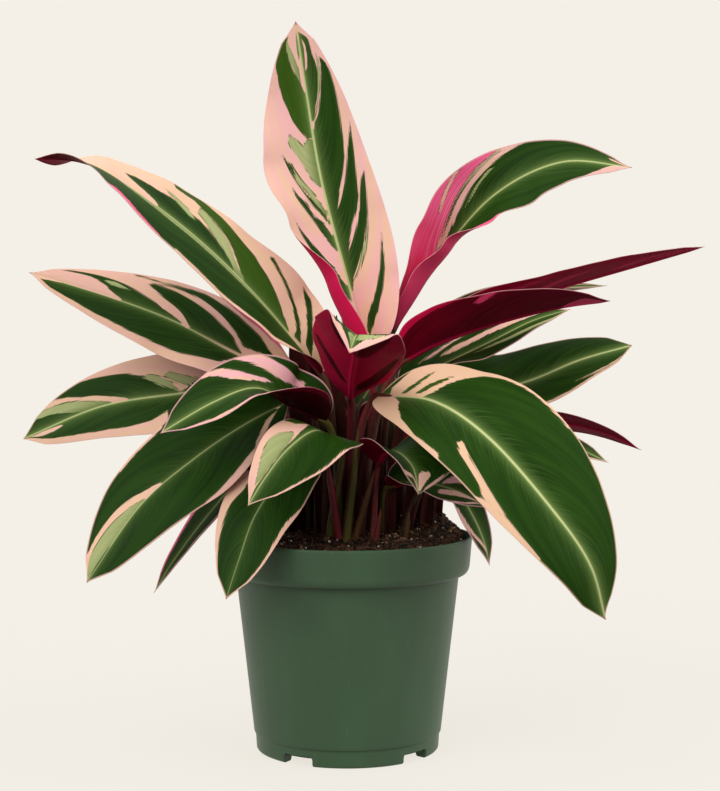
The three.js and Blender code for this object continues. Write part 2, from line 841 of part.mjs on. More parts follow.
// Whole plant ------------------------------------------------------------------------------------
const plant = new THREE.Group();
plant.add(meshFrom('pot', potSolid(), POT_GREEN, POT_ROUGHNESS));
plant.add(meshFrom('soil', soilSolid(), SOIL_BROWN, SOIL_ROUGHNESS));
LEAVES.forEach((leaf) => {
  plant.add(meshFrom(leaf.name, leafSolid(leaf), leaf.color, LEAF_ROUGHNESS));
});

export default plant;
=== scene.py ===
# %% [markdown]
# # A stromanthe triostar in its grower pot
# The plant is a clump of long, thin leaves. Each one is folded along its midrib, carried by a round stalk
# out of the soil, and painted by nature in green, cream and pink above and in maroon below. The packed
# model gives the frame: one plain solid for each leaf, one for the soil and one for the pot. The cells
# below make a finer piece for each of them, in the same place.

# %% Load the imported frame
import math

import bpy
import numpy as np
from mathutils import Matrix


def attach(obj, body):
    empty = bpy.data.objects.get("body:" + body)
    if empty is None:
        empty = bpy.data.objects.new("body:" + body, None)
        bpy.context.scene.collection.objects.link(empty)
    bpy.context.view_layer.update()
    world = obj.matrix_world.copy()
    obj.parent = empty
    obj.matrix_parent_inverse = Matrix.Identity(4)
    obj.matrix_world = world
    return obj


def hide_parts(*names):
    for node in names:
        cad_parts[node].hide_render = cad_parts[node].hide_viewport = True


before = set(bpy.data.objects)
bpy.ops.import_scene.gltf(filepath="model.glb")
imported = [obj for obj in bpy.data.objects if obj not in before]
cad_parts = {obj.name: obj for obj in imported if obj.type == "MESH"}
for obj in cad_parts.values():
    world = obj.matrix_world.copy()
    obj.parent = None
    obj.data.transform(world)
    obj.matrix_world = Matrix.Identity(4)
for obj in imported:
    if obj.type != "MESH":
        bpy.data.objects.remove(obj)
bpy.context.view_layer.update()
MM = 0.001

# %% [markdown]
# ## A way to write shaders as sums
# A leaf's colour is a long piece of arithmetic on a few numbers that live on its surface. Wired by hand in
# the node editor, that is hard to read. So one small class stands for a number on the surface, and plus,
# minus and times on it add the Math nodes. A second class holds one finish and makes every other node.

# %% Numbers on a surface, and a finish made of them
class Field:
    """One output socket of a shader node. Arithmetic on it adds Math nodes to its finish."""

    def __init__(self, finish, socket):
        self.finish, self.socket = finish, socket

    def math(self, operation, *values):
        return self.finish.node("ShaderNodeMath", {"operation": operation}, *values)

    def __add__(self, other):
        return self.math("ADD", self, other)

    def __sub__(self, other):
        return self.math("SUBTRACT", self, other)

    def __rsub__(self, other):
        return self.math("SUBTRACT", other, self)

    def __mul__(self, other):
        return self.math("MULTIPLY", self, other)

    __radd__, __rmul__ = __add__, __mul__

    def step(self, low, high):
        """0 at low, 1 at high and an S curve between them, whichever of the two is larger."""
        curve = {"interpolation_type": "SMOOTHSTEP"}
        return self.finish.node("ShaderNodeMapRange", curve, self, low, high, 0.0, 1.0)


class Finish:
    """One material: a Principled shader and the nodes that feed it."""

    def __init__(self, name):
        self.material = bpy.data.materials.new(name)
        self.material.use_nodes = True
        self.tree = self.material.node_tree
        self.tree.nodes.clear()

    def node(self, kind, settings, *values, out=0, **named):
        """Adds a node: its settings first, then a value or a link for each socket, by place or by name."""
        made = self.tree.nodes.new(kind)
        for key, value in settings.items():
            setattr(made, key, value)
        by_name = [(key.replace("_", " "), value) for key, value in named.items()]
        for where, value in [*enumerate(values), *by_name]:
            if isinstance(value, Field):
                self.tree.links.new(value.socket, made.inputs[where])
            elif value is not None:
                made.inputs[where].default_value = value
        return Field(self, made.outputs[out]) if made.outputs else None

    def blend(self, share, first, second):
        """The first colour where share is 0, the second where it is 1."""
        pair = [(*colour, 1.0) if isinstance(colour, tuple) else colour for colour in (first, second)]
        settings = {"data_type": "RGBA", "clamp_factor": True}
        return self.node("ShaderNodeMix", settings, share, *[None] * 5, *pair, out=2)

    def number(self, name):
        """A number that is stored on the piece's points."""
        return self.node("ShaderNodeAttribute", {"attribute_name": name}, out="Fac")

    def spot(self, name=None):
        """Object coordinates in metres, or a vector that is stored on the piece's points."""
        if name is None:
            return self.node("ShaderNodeTexCoord", {}, out="Object")
        return self.node("ShaderNodeAttribute", {"attribute_name": name}, out="Vector")

    def noise(self, where, stretch, detail=2.0):
        """Cloudy noise round 0.5, where a cell is 1 / stretch of the place's own units."""
        place = self.node("ShaderNodeVectorMath", {"operation": "MULTIPLY"}, where, stretch)
        return self.node("ShaderNodeTexNoise", {}, Vector=place, Scale=1.0, Detail=detail)

    def close(self, colour, roughness, height=None, strength=0.3, depth=0.0004, **constants):
        """Ends the finish in its Principled shader. Height is a bump, and depth is its unit in metres."""
        base = (*colour, 1.0) if isinstance(colour, tuple) else colour
        sockets = {"Base_Color": base, "Roughness": roughness, **constants}
        if height is not None:
            relief = {"Strength": strength, "Distance": depth, "Height": height}
            sockets["Normal"] = self.node("ShaderNodeBump", {}, out="Normal", **relief)
        shader = self.node("ShaderNodeBsdfPrincipled", {}, **sockets)
        self.node("ShaderNodeOutputMaterial", {}, Surface=shader)
        print("finish", self.material.name, "has", len(self.tree.nodes), "nodes")
        return self.material

# %% [markdown]
# ## Meshes straight from arrays
# Every new piece is worked out with numpy as whole arrays of points, in millimetres like the drawing. One
# helper turns points and faces into a mesh in metres and one keeps numbers on its points. The third gives it
# its finishes, smooths it except at true edges, hangs it on the frame's root and hides the solid that it
# stands for.

# %% Points and faces into a piece
def new_mesh(name, points, quads, triangles=()):
    """A mesh from an array of points in mm, an array of four-sided faces and one of three-sided ones."""
    corner_lists = [np.asarray(faces, int).reshape(-1, n) for faces, n in ((quads, 4), (triangles, 3))]
    corners = np.concatenate([faces.ravel() for faces in corner_lists])
    sizes = np.concatenate([np.full(len(faces), faces.shape[1]) for faces in corner_lists])
    mesh = bpy.data.meshes.new(name)
    mesh.vertices.add(len(points))
    mesh.vertices.foreach_set("co", (np.asarray(points) * MM).ravel())
    mesh.loops.add(len(corners))
    mesh.loops.foreach_set("vertex_index", corners)
    mesh.polygons.add(len(sizes))
    mesh.polygons.foreach_set("loop_start", np.concatenate([[0], np.cumsum(sizes)[:-1]]))
    mesh.update(calc_edges=True)
    return mesh


def store(mesh, name, values):
    """Keeps one number, or one vector, on each point of the mesh."""
    kind, key = ("FLOAT", "value") if np.ndim(values) == 1 else ("FLOAT_VECTOR", "vector")
    mesh.attributes.new(name, kind, "POINT").data.foreach_set(key, np.asarray(values, float).ravel())


def add_piece(mesh, finishes, replaces=None, sharp_degrees=40.0, which=None):
    """Links the mesh as one piece of the object, with its finishes and its place in the frame."""
    for finish in finishes:
        mesh.materials.append(finish)
    if which is not None:
        mesh.polygons.foreach_set("material_index", which)
    mesh.shade_smooth()
    mesh.set_sharp_from_angle(angle=math.radians(sharp_degrees))
    piece = bpy.data.objects.new(mesh.name, mesh)
    bpy.context.scene.collection.objects.link(piece)
    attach(piece, "root")
    if replaces:
        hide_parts(replaces)
    return piece

# %% [markdown]
# ## Camera
# The plant is seen from the front and a little above its middle, through a long lens, so the leaves that
# reach forward don't swell.

# %% A long lens, a little above the rim
LENS_PIXELS = 1767.0
FRAME_HEIGHT_PIXELS = 791.0
SENSOR_MM = 36.0
CAMERA_AT = (8.0, -1130.0, 281.0)
CAMERA_DOWN = 0.048

lens = bpy.data.cameras.new("camera")
lens.sensor_width = SENSOR_MM
lens.lens = LENS_PIXELS * SENSOR_MM / FRAME_HEIGHT_PIXELS
lens.clip_start, lens.clip_end = 0.05, 60.0
camera = bpy.data.objects.new("camera", lens)
camera.location = [c * MM for c in CAMERA_AT]
camera.rotation_euler = (math.pi / 2 - CAMERA_DOWN, 0.0, 0.0)
bpy.context.scene.collection.objects.link(camera)
bpy.context.scene.camera = camera
print("lens", round(lens.lens, 2), "mm")

# %% [markdown]
# ## Light and floor
# A studio sweep is lit so evenly that it has no horizon. Three broad suns and a sky do this without
# fall-off: the floor gets the same light everywhere, so the glow that brings it to the sky's cream can be
# worked out in plain Python. Only the part of the floor's light that comes from the lamps can be shaded,
# and that keeps the shadow at the pot's foot faint. The light from the sky fades downwards, so that leaves
# are darker from below. Rays from the camera see the even cream instead.

# %% Sky, suns and floor
BACKDROP = (0.905, 0.871, 0.799)
LOW_SKY, HIGH_SKY = (-0.5, 0.12), (0.4, 0.50)
FLOOR_ALBEDO = 0.08
FLOOR_RADIUS, FLOOR_SIDES, FLOOR_DROP_MM = 9.0, 96, 0.05
# Strength, how wide the sun looks, and where it stands: degrees round from the front, degrees up.
SUNS = {
    "key": (2.3, 60.0, -38.0, 40.0),
    "fill": (1.85, 70.0, 74.0, 24.0),
    "top": (1.2, 80.0, 170.0, 62.0),
}

scene = bpy.context.scene
scene.view_settings.view_transform = "Standard"
scene.world = bpy.data.worlds.new("sky")
scene.world.use_nodes = True
sky = scene.world.node_tree
sky.nodes.clear()
seen = sky.nodes.new("ShaderNodeLightPath")
way = sky.nodes.new("ShaderNodeTexCoord")
split = sky.nodes.new("ShaderNodeSeparateXYZ")
fade = sky.nodes.new("ShaderNodeMapRange")
for name, value in zip(("From Min", "To Min", "From Max", "To Max"), (*LOW_SKY, *HIGH_SKY)):
    fade.inputs[name].default_value = value
strength = sky.nodes.new("ShaderNodeMapRange")
background = sky.nodes.new("ShaderNodeBackground")
background.inputs["Color"].default_value = (*BACKDROP, 1.0)
end = sky.nodes.new("ShaderNodeOutputWorld")
sky.links.new(way.outputs["Generated"], split.inputs["Vector"])
sky.links.new(split.outputs["Z"], fade.inputs["Value"])
sky.links.new(fade.outputs["Result"], strength.inputs["To Min"])
sky.links.new(seen.outputs["Is Camera Ray"], strength.inputs["Value"])
sky.links.new(strength.outputs["Result"], background.inputs["Strength"])
sky.links.new(background.outputs["Background"], end.inputs["Surface"])

height = np.linspace(0, 1, 101)
faded = np.interp(height, *zip(LOW_SKY, HIGH_SKY))
floor_light = np.array(BACKDROP) * np.average(faded, weights=height)
for name, (power, width, round_degrees, up_degrees) in SUNS.items():
    sun = bpy.data.lights.new(name, "SUN")
    sun.energy, sun.angle = power, math.radians(width)
    lamp = bpy.data.objects.new(name, sun)
    lamp.rotation_euler = (math.radians(90 - up_degrees), 0.0, math.radians(round_degrees))
    scene.collection.objects.link(lamp)
    floor_light = floor_light + power * math.sin(math.radians(up_degrees)) / math.pi

floor_glow = np.array(BACKDROP) - FLOOR_ALBEDO * floor_light
floor_finish = Finish("pale_floor")
floor_matter = {
    "Specular_IOR_Level": 0.0,
    "Emission_Color": (*[float(v) for v in floor_glow], 1.0),
    "Emission_Strength": 1.0,
}
floor_material = floor_finish.close((FLOOR_ALBEDO,) * 3, 1.0, **floor_matter)
turn = np.linspace(0, 2 * np.pi, FLOOR_SIDES, endpoint=False)
rim = FLOOR_RADIUS / MM * np.stack([np.cos(turn), np.sin(turn), 0 * turn], 1)
here = np.arange(FLOOR_SIDES)
fan = np.stack([here, (here + 1) % FLOOR_SIDES, np.full(FLOOR_SIDES, FLOOR_SIDES)], 1)
floor_mesh = new_mesh("floor", np.vstack([rim, [[0, 0, 0]]]) - [0, 0, FLOOR_DROP_MM], [], fan)
floor_mesh.materials.append(floor_material)
floor = bpy.data.objects.new("floor", floor_mesh)
scene.collection.objects.link(floor)
floor.visible_diffuse = False
print("floor glows with", np.round(floor_glow, 3))

# %% [markdown]
# ## Pot
# A grower pot is one thin injection moulding: a cone that flares a little, a deep plain rim that stands out
# from it, a small step near the ground and four feet with drain gaps between them. Spinning a profile is
# the direct way. Rings set close to each corner keep the shading of the long walls even, and the four gaps
# are cut with arch-shaped blocks.

# %% Spin the pot and cut its drain gaps
POT_PROFILE = [
    (49.8, 3), (50.3, 1), (51, 0.15), (51.8, 0), (57, 0), (57.9, 0.4), (58.5, 1.2), (58.65, 2.4),
    (59.05, 9.8), (59.12, 10.7), (59.4, 11.2), (60, 11.6), (60.2, 12.2), (60.35, 13.6), (65.9, 63),
    (71.4, 111.2), (71.55, 112.5), (71.9, 113), (72.6, 113.2), (74.8, 113.4), (76, 113.9), (76.9, 114.6),
    (77.6, 115.7), (78.1, 116.9), (78.4, 118.2), (78.55, 119.6), (79.87, 135), (79.95, 136.4),
    (79.8, 137.1), (79.4, 137.5), (78.8, 137.5), (78.35, 137.2), (78.1, 136.6), (78, 135), (77.1, 120.6),
    (76.9, 118.8), (76.3, 117.1), (75.2, 116.1), (70.9, 115), (70.3, 114.4), (70.05, 112.6),
    (58.5, 12.4), (58.3, 10.8), (57.7, 5.5), (57.2, 4.8), (56.5, 4.5),
]
POT_SEGMENTS = 240
# Degrees round from the middle of the front foot.
GAPS = (-140.5, -39.5, 39.5, 140.5)
GAP_FROM, GAP_TO = 44.0, 64.0
GAP_HALF_WIDTH = 10.65
GAP_HEIGHT = 6.25
GAP_CORNER, GAP_MIDDLE = 2.0, 3.0
FOOT_TURN = 7.7


def spun(profile, segments):
    """Points (radius cos a, radius sin a, height) for each profile point and each angle a, with a pole at
    both ends, and the faces that close them into a skin that looks outwards."""
    radius, height = np.array(profile, float).T
    angle = np.linspace(0, 2 * np.pi, segments, endpoint=False)
    ring = np.stack([np.outer(radius, np.cos(angle)), np.outer(radius, np.sin(angle)),
                     np.repeat(height[:, None], segments, 1)], -1)
    poles = [[0, 0, height[0]], [0, 0, height[-1]]]
    return np.vstack([ring.reshape(-1, 3), poles]), *skin_faces(len(radius), segments)


def skin_faces(rings, segments):
    """Four-sided faces between rings of equal count, and two fans to the two points that follow them."""
    low = np.arange((rings - 1) * segments)
    beside = low // segments * segments + (low + 1) % segments
    quads = np.stack([low, beside, beside + segments, low + segments], 1)
    k = np.arange(segments)
    after, last = (k + 1) % segments, (rings - 1) * segments
    pole = np.full(segments, rings * segments)
    fans = [np.stack([pole, after, k], 1), np.stack([pole + 1, last + k, last + after], 1)]
    return quads, np.vstack(fans)


def gap_blocks():
    """Four bars with an arch for a section, each pushed out along its own angle through the foot ring."""
    bend = np.linspace(0, np.pi / 2, 6)
    arc = np.stack([GAP_HALF_WIDTH - GAP_CORNER + GAP_CORNER * np.cos(bend),
                    GAP_HEIGHT - GAP_CORNER + GAP_CORNER * np.sin(bend)], 1)
    section = np.vstack([[[-GAP_HALF_WIDTH, -1], [GAP_HALF_WIDTH, -1]], arc, arc[::-1] * [-1, 1]])
    count = len(section)
    bar = np.vstack([np.column_stack([np.full(count, reach), section]) for reach in (GAP_FROM, GAP_TO)]
                    + [[[GAP_FROM, 0, GAP_MIDDLE], [GAP_TO, 0, GAP_MIDDLE]]])
    quads, ends = skin_faces(2, count)
    turns = np.radians(np.array(GAPS) + FOOT_TURN - 90)
    spin = np.array([[np.cos(turns), -np.sin(turns), 0 * turns], [np.sin(turns), np.cos(turns), 0 * turns],
                     [0 * turns, 0 * turns, 1 + 0 * turns]])
    points = np.einsum("ijk,nj->kni", spin, bar).reshape(-1, 3)
    shift = (np.arange(len(GAPS)) * len(bar))[:, None, None]
    return points, (quads + shift).reshape(-1, 4), (ends + shift).reshape(-1, 3)


def cut(mesh, blocks):
    """The mesh less the blocks, as a new mesh."""
    whole, tool = (bpy.data.objects.new(m.name, m) for m in (mesh, blocks))
    for thing in (whole, tool):
        scene.collection.objects.link(thing)
    cutter = whole.modifiers.new("gaps", "BOOLEAN")
    cutter.operation, cutter.solver, cutter.object = "DIFFERENCE", "EXACT", tool
    result = bpy.data.meshes.new_from_object(whole.evaluated_get(bpy.context.evaluated_depsgraph_get()))
    for thing in (whole, tool):
        bpy.data.objects.remove(thing)
    return result


pot_mesh = cut(new_mesh("pot_whole", *spun(POT_PROFILE, POT_SEGMENTS)), new_mesh("gap_blocks", *gap_blocks()))
pot_mesh.name = "pot_shell"
print("pot shell has", len(pot_mesh.polygons), "faces")

# %% [markdown]
# ### Pot finish
# Moulded polypropylene is even in colour but never flat: it has a slight bloom, faint marks where it
# slipped off its core, and fine scuffs from being stacked. Long thin noise along the height gives the
# marks, and fine noise breaks up the gloss.

# %% Satin green plastic
plastic = Finish("satin_green_plastic")
wall = plastic.spot()
mottle = plastic.noise(wall, (30.0, 30.0, 12.0), 4.0)
drawn = plastic.noise(wall, (260.0, 260.0, 9.0), 3.0)
grain = plastic.noise(wall, (1900.0, 1900.0, 1900.0), 2.0)
scuff = plastic.noise(wall, (420.0, 420.0, 60.0), 5.0).step(0.62, 0.74)
tint = mottle.step(0.3, 0.7) * 0.65 + drawn * 0.35
green = plastic.blend(tint, (0.036, 0.077, 0.036), (0.048, 0.099, 0.047))
green = plastic.blend(scuff * 0.16, green, (0.13, 0.17, 0.12))
gloss = 0.4 + mottle * 0.08 + scuff * 0.15
relief = drawn * 0.6 + grain * 0.5
pot_finish = plastic.close(green, gloss, relief, strength=0.16, depth=0.0003, Specular_IOR_Level=0.3)
add_piece(pot_mesh, [pot_finish], "pot", sharp_degrees=28.0)

# %% [markdown]
# ## Soil
# Potting mix is peat and fine bark with white perlite. From the front only a sliver of it shows, from above
# much of it, so it is made in two steps: a lumpy bed that fills the pot, then thousands of loose crumbs on
# top. A crumb needs only twenty faces.

# %% A lumpy bed
SOIL_WALL = [(56.2, 4.9), (57.2, 5.6), (58.0, 11.9), (69.8, 115.0), (75.2, 116.6), (76.6, 119.4)]
SOIL_EDGE, SOIL_REACH = 132.0, 77.2
HEAP_RISE, HEAP_X, HEAP_Y, HEAP_SPREAD, HEAP_FADE = 13.0, 18.0, 26.0, 44.0, 78.0
PILE_RISE, PILE_X, PILE_Y, PILE_SPREAD = 11.0, 57.0, 24.0, 12.0
SOIL_SEED = 11
SOIL_SEGMENTS, SOIL_RINGS = 200, 56
LUMPS, LUMP_REACH = 420, 80
rng = np.random.default_rng(SOIL_SEED)
lump_at = rng.uniform(-LUMP_REACH, LUMP_REACH, (LUMPS, 2))
lump_size = rng.uniform(1.5, 6.0, LUMPS)
lump_rise = rng.uniform(-0.25, 0.3, LUMPS) * lump_size


def soil_height(x, y):
    """Level at the wall and heaped round the crown: a bell curve that fades out with the sixth power of the
    distance from the axis."""
    bell = np.exp(-((x - HEAP_X) ** 2 + (y - HEAP_Y) ** 2) / (2 * HEAP_SPREAD ** 2))
    return SOIL_EDGE + HEAP_RISE * bell * (1 - (np.hypot(x, y) / HEAP_FADE) ** 6)


def lumpy_height(x, y):
    """The heap, one more small pile at the back, and the sum of many small bell curves, up and down."""
    away = (x[..., None] - lump_at[:, 0]) ** 2 + (y[..., None] - lump_at[:, 1]) ** 2
    pile = PILE_RISE * np.exp(-((x - PILE_X) ** 2 + (y - PILE_Y) ** 2) / (2 * PILE_SPREAD ** 2))
    return soil_height(x, y) + pile + (lump_rise * np.exp(-away / (2 * lump_size ** 2))).sum(-1)


def soil_bed():
    """The wall's rings, then rings of the surface from the wall to the middle."""
    surface_radius = np.linspace(SOIL_REACH, 0.8, SOIL_RINGS)
    profile = SOIL_WALL + [(radius, SOIL_EDGE) for radius in surface_radius]
    points, quads, fans = spun(profile, SOIL_SEGMENTS)
    top = np.arange(len(points)) >= len(SOIL_WALL) * SOIL_SEGMENTS
    top[-2] = False
    x, y = points[top, 0], points[top, 1]
    settle = np.clip((SOIL_REACH - np.hypot(x, y)) / 3.0, 0, 1)
    points[top, 2] = soil_height(x, y) + (lumpy_height(x, y) - soil_height(x, y)) * settle
    return new_mesh("soil_bed", points, quads, fans)


# %% Crumbs, perlite, bark and fibres
GOLD = (1 + 5 ** 0.5) / 2
BALL = np.array([(a * 1, b * GOLD, 0) for a in (-1, 1) for b in (-1, 1)])
BALL = np.vstack([BALL, BALL[:, [2, 0, 1]], BALL[:, [1, 2, 0]]]) / np.hypot(1, GOLD)


def ball_faces():
    """The twenty triangles of the ball's twelve points: each three that lie an edge apart, facing out."""
    edge = np.linalg.norm(BALL[:, None] - BALL[None], axis=-1)
    near = (edge > 0.1) & (edge < 1.2)
    i, j, k = np.meshgrid(*[np.arange(12)] * 3, indexing="ij")
    three = np.stack([i, j, k], -1)[(i < j) & (j < k) & near[i, j] & near[j, k] & near[i, k]]
    a, b, c = (BALL[three[:, n]] for n in range(3))
    outward = (np.cross(b - a, c - a) * a).sum(1) > 0
    return np.where(outward[:, None], three, three[:, ::-1])


def random_turns(count):
    """One random rotation for each piece: an orthonormal frame from two random directions."""
    first = rng.normal(size=(count, 3))
    first /= np.linalg.norm(first, axis=1, keepdims=True)
    second = np.cross(first, rng.normal(size=(count, 3)))
    second /= np.linalg.norm(second, axis=1, keepdims=True)
    return np.stack([first, second, np.cross(first, second)], -1)


def scattered(name, count, sizes, squash, sink, reach=75.0):
    """Rough grains on the soil: the ball with each corner pushed in or out, scaled by size and squash,
    turned at random, and set so deep that sink of its size is below the surface."""
    size = rng.uniform(*sizes, count)
    rough = BALL[None] * rng.uniform(0.72, 1.2, (count, 12, 1)) * np.array(squash)
    grains = np.einsum("nij,nkj->nki", random_turns(count), rough) * size[:, None, None]
    radius, angle = reach * np.sqrt(rng.uniform(0, 1, count)), rng.uniform(0, 2 * np.pi, count)
    x, y = radius * np.cos(angle), radius * np.sin(angle)
    centre = np.stack([x, y, lumpy_height(x, y) + size * (0.5 - sink)], -1)
    points = (grains + centre[:, None]).reshape(-1, 3)
    faces = (ball_faces()[None] + 12 * np.arange(count)[:, None, None]).reshape(-1, 3)
    mesh = new_mesh(name, points, [], faces)
    store(mesh, "tone", np.repeat(rng.uniform(0, 1, count), 12))
    return mesh


# %% [markdown]
# ### Soil finishes
# Damp peat is nearly black in its pores and red-brown where a crumb catches the light. Here the noise that
# raises the bumps also sets the colour, so hollows are painted darker as shade and raised bits painted
# red-brown as light, over the peat's own browns. Each crumb gets its own tone from the number stored on it,
# so that neighbours differ.

# %% Peat, perlite and bark
peat = Finish("damp_peat")
ground = peat.spot()
clod = peat.noise(ground, (300.0, 300.0, 300.0), 4.0)
dust = peat.noise(ground, (1700.0, 1700.0, 1700.0), 3.0)
# Painted shade and light: the same clod and dust noise that raises the bumps darkens the hollows and lightens
# the tops.
brown = peat.blend(clod * 0.5 + dust * 0.6, (0.005, 0.0020, 0.0007), (0.036, 0.014, 0.0045))
bed_finish = peat.close(brown, 0.85, clod + dust, strength=0.8, depth=0.001, Specular_IOR_Level=0.3)

crumb = Finish("peat_crumb")
dust = crumb.noise(crumb.spot(), (900.0, 900.0, 900.0), 4.0)
shade = crumb.number("tone") * 0.75 + dust * 0.5
# Painted shade and light: the dust noise that raises the bumps also darkens the hollows and lightens the
# tops; the tone stored on each crumb is its own colour.
brown = crumb.blend(shade.step(0.25, 1.1), (0.006, 0.0025, 0.0009), (0.080, 0.031, 0.010))
crumb_finish = crumb.close(brown, 0.8, dust, strength=0.7, depth=0.0006, Specular_IOR_Level=0.3)

perlite = Finish("white_perlite")
pits = perlite.noise(perlite.spot(), (1500.0, 1500.0, 1500.0), 3.0)
white = perlite.blend(pits * 0.5 + perlite.number("tone") * 0.6, (0.36, 0.27, 0.19), (0.80, 0.74, 0.64))
perlite_finish = perlite.close(white, 0.9, pits, strength=0.6, depth=0.0004)

bark = Finish("bark_chip")
fibre = bark.noise(bark.spot(), (200.0, 1100.0, 200.0), 4.0)
brown = bark.blend(fibre * 0.6 + bark.number("tone") * 0.5, (0.030, 0.013, 0.005), (0.24, 0.11, 0.040))
bark_finish = bark.close(brown, 0.75, fibre, strength=0.6, depth=0.0005)

add_piece(soil_bed(), [bed_finish], "soil", sharp_degrees=60.0)
for name, finish, count, sizes, squash, sink in (
    ("soil_crumbs", crumb_finish, 3600, (0.6, 1.9), (1.0, 0.85, 0.7), 0.25),
    ("soil_clods", crumb_finish, 420, (1.8, 3.2), (1.0, 0.8, 0.6), 0.45),
    ("soil_perlite", perlite_finish, 330, (0.45, 1.25), (1.0, 0.9, 0.8), 0.15),
    ("soil_bark", bark_finish, 130, (1.6, 3.8), (1.0, 0.5, 0.22), 0.3),
):
    grains = add_piece(scattered(name, count, sizes, squash, sink), [finish], sharp_degrees=20.0)
    print(name, len(grains.data.polygons), "faces")

# %% [markdown]
# ## The leaves, one entry each
# A leaf is told by a few numbers: points along its midrib, the way its upper side looks, how wide and how
# folded each half is, how its outline swells and tapers, and where its stalk stands in the soil. Lists of
# faces and folds stand at even steps from the blade's foot to its tip. Lengths are in mm, folds in degrees.

# %% Table of leaves
def leaf(name, rib, face, half, left, right, grow, taper, foot, neck=0.16, stalk=1.0, **more):
    """Names one leaf's numbers. Root is the share of the fold that each half makes at once at the rib. Neck
    is how far before the blade the stalk bends over, stalk how thick it is and stem how red. Glow is the red
    of the underside, from nearly black below 0 to magenta at 1, and shine how clearly the midrib and side
    veins show, how light the green is and how strong the painted sheen beside the midrib is."""
    usual = {"root": (0.55, 0.55), "glow": 0.3, "shine": 0.45, "stem": None}
    return {**usual, "name": name, "rib": rib, "face": face, "half": half, "fold": (left, right),
            "grow": grow, "taper": taper, "foot": foot, "neck": neck, "stalk": stalk, **more}


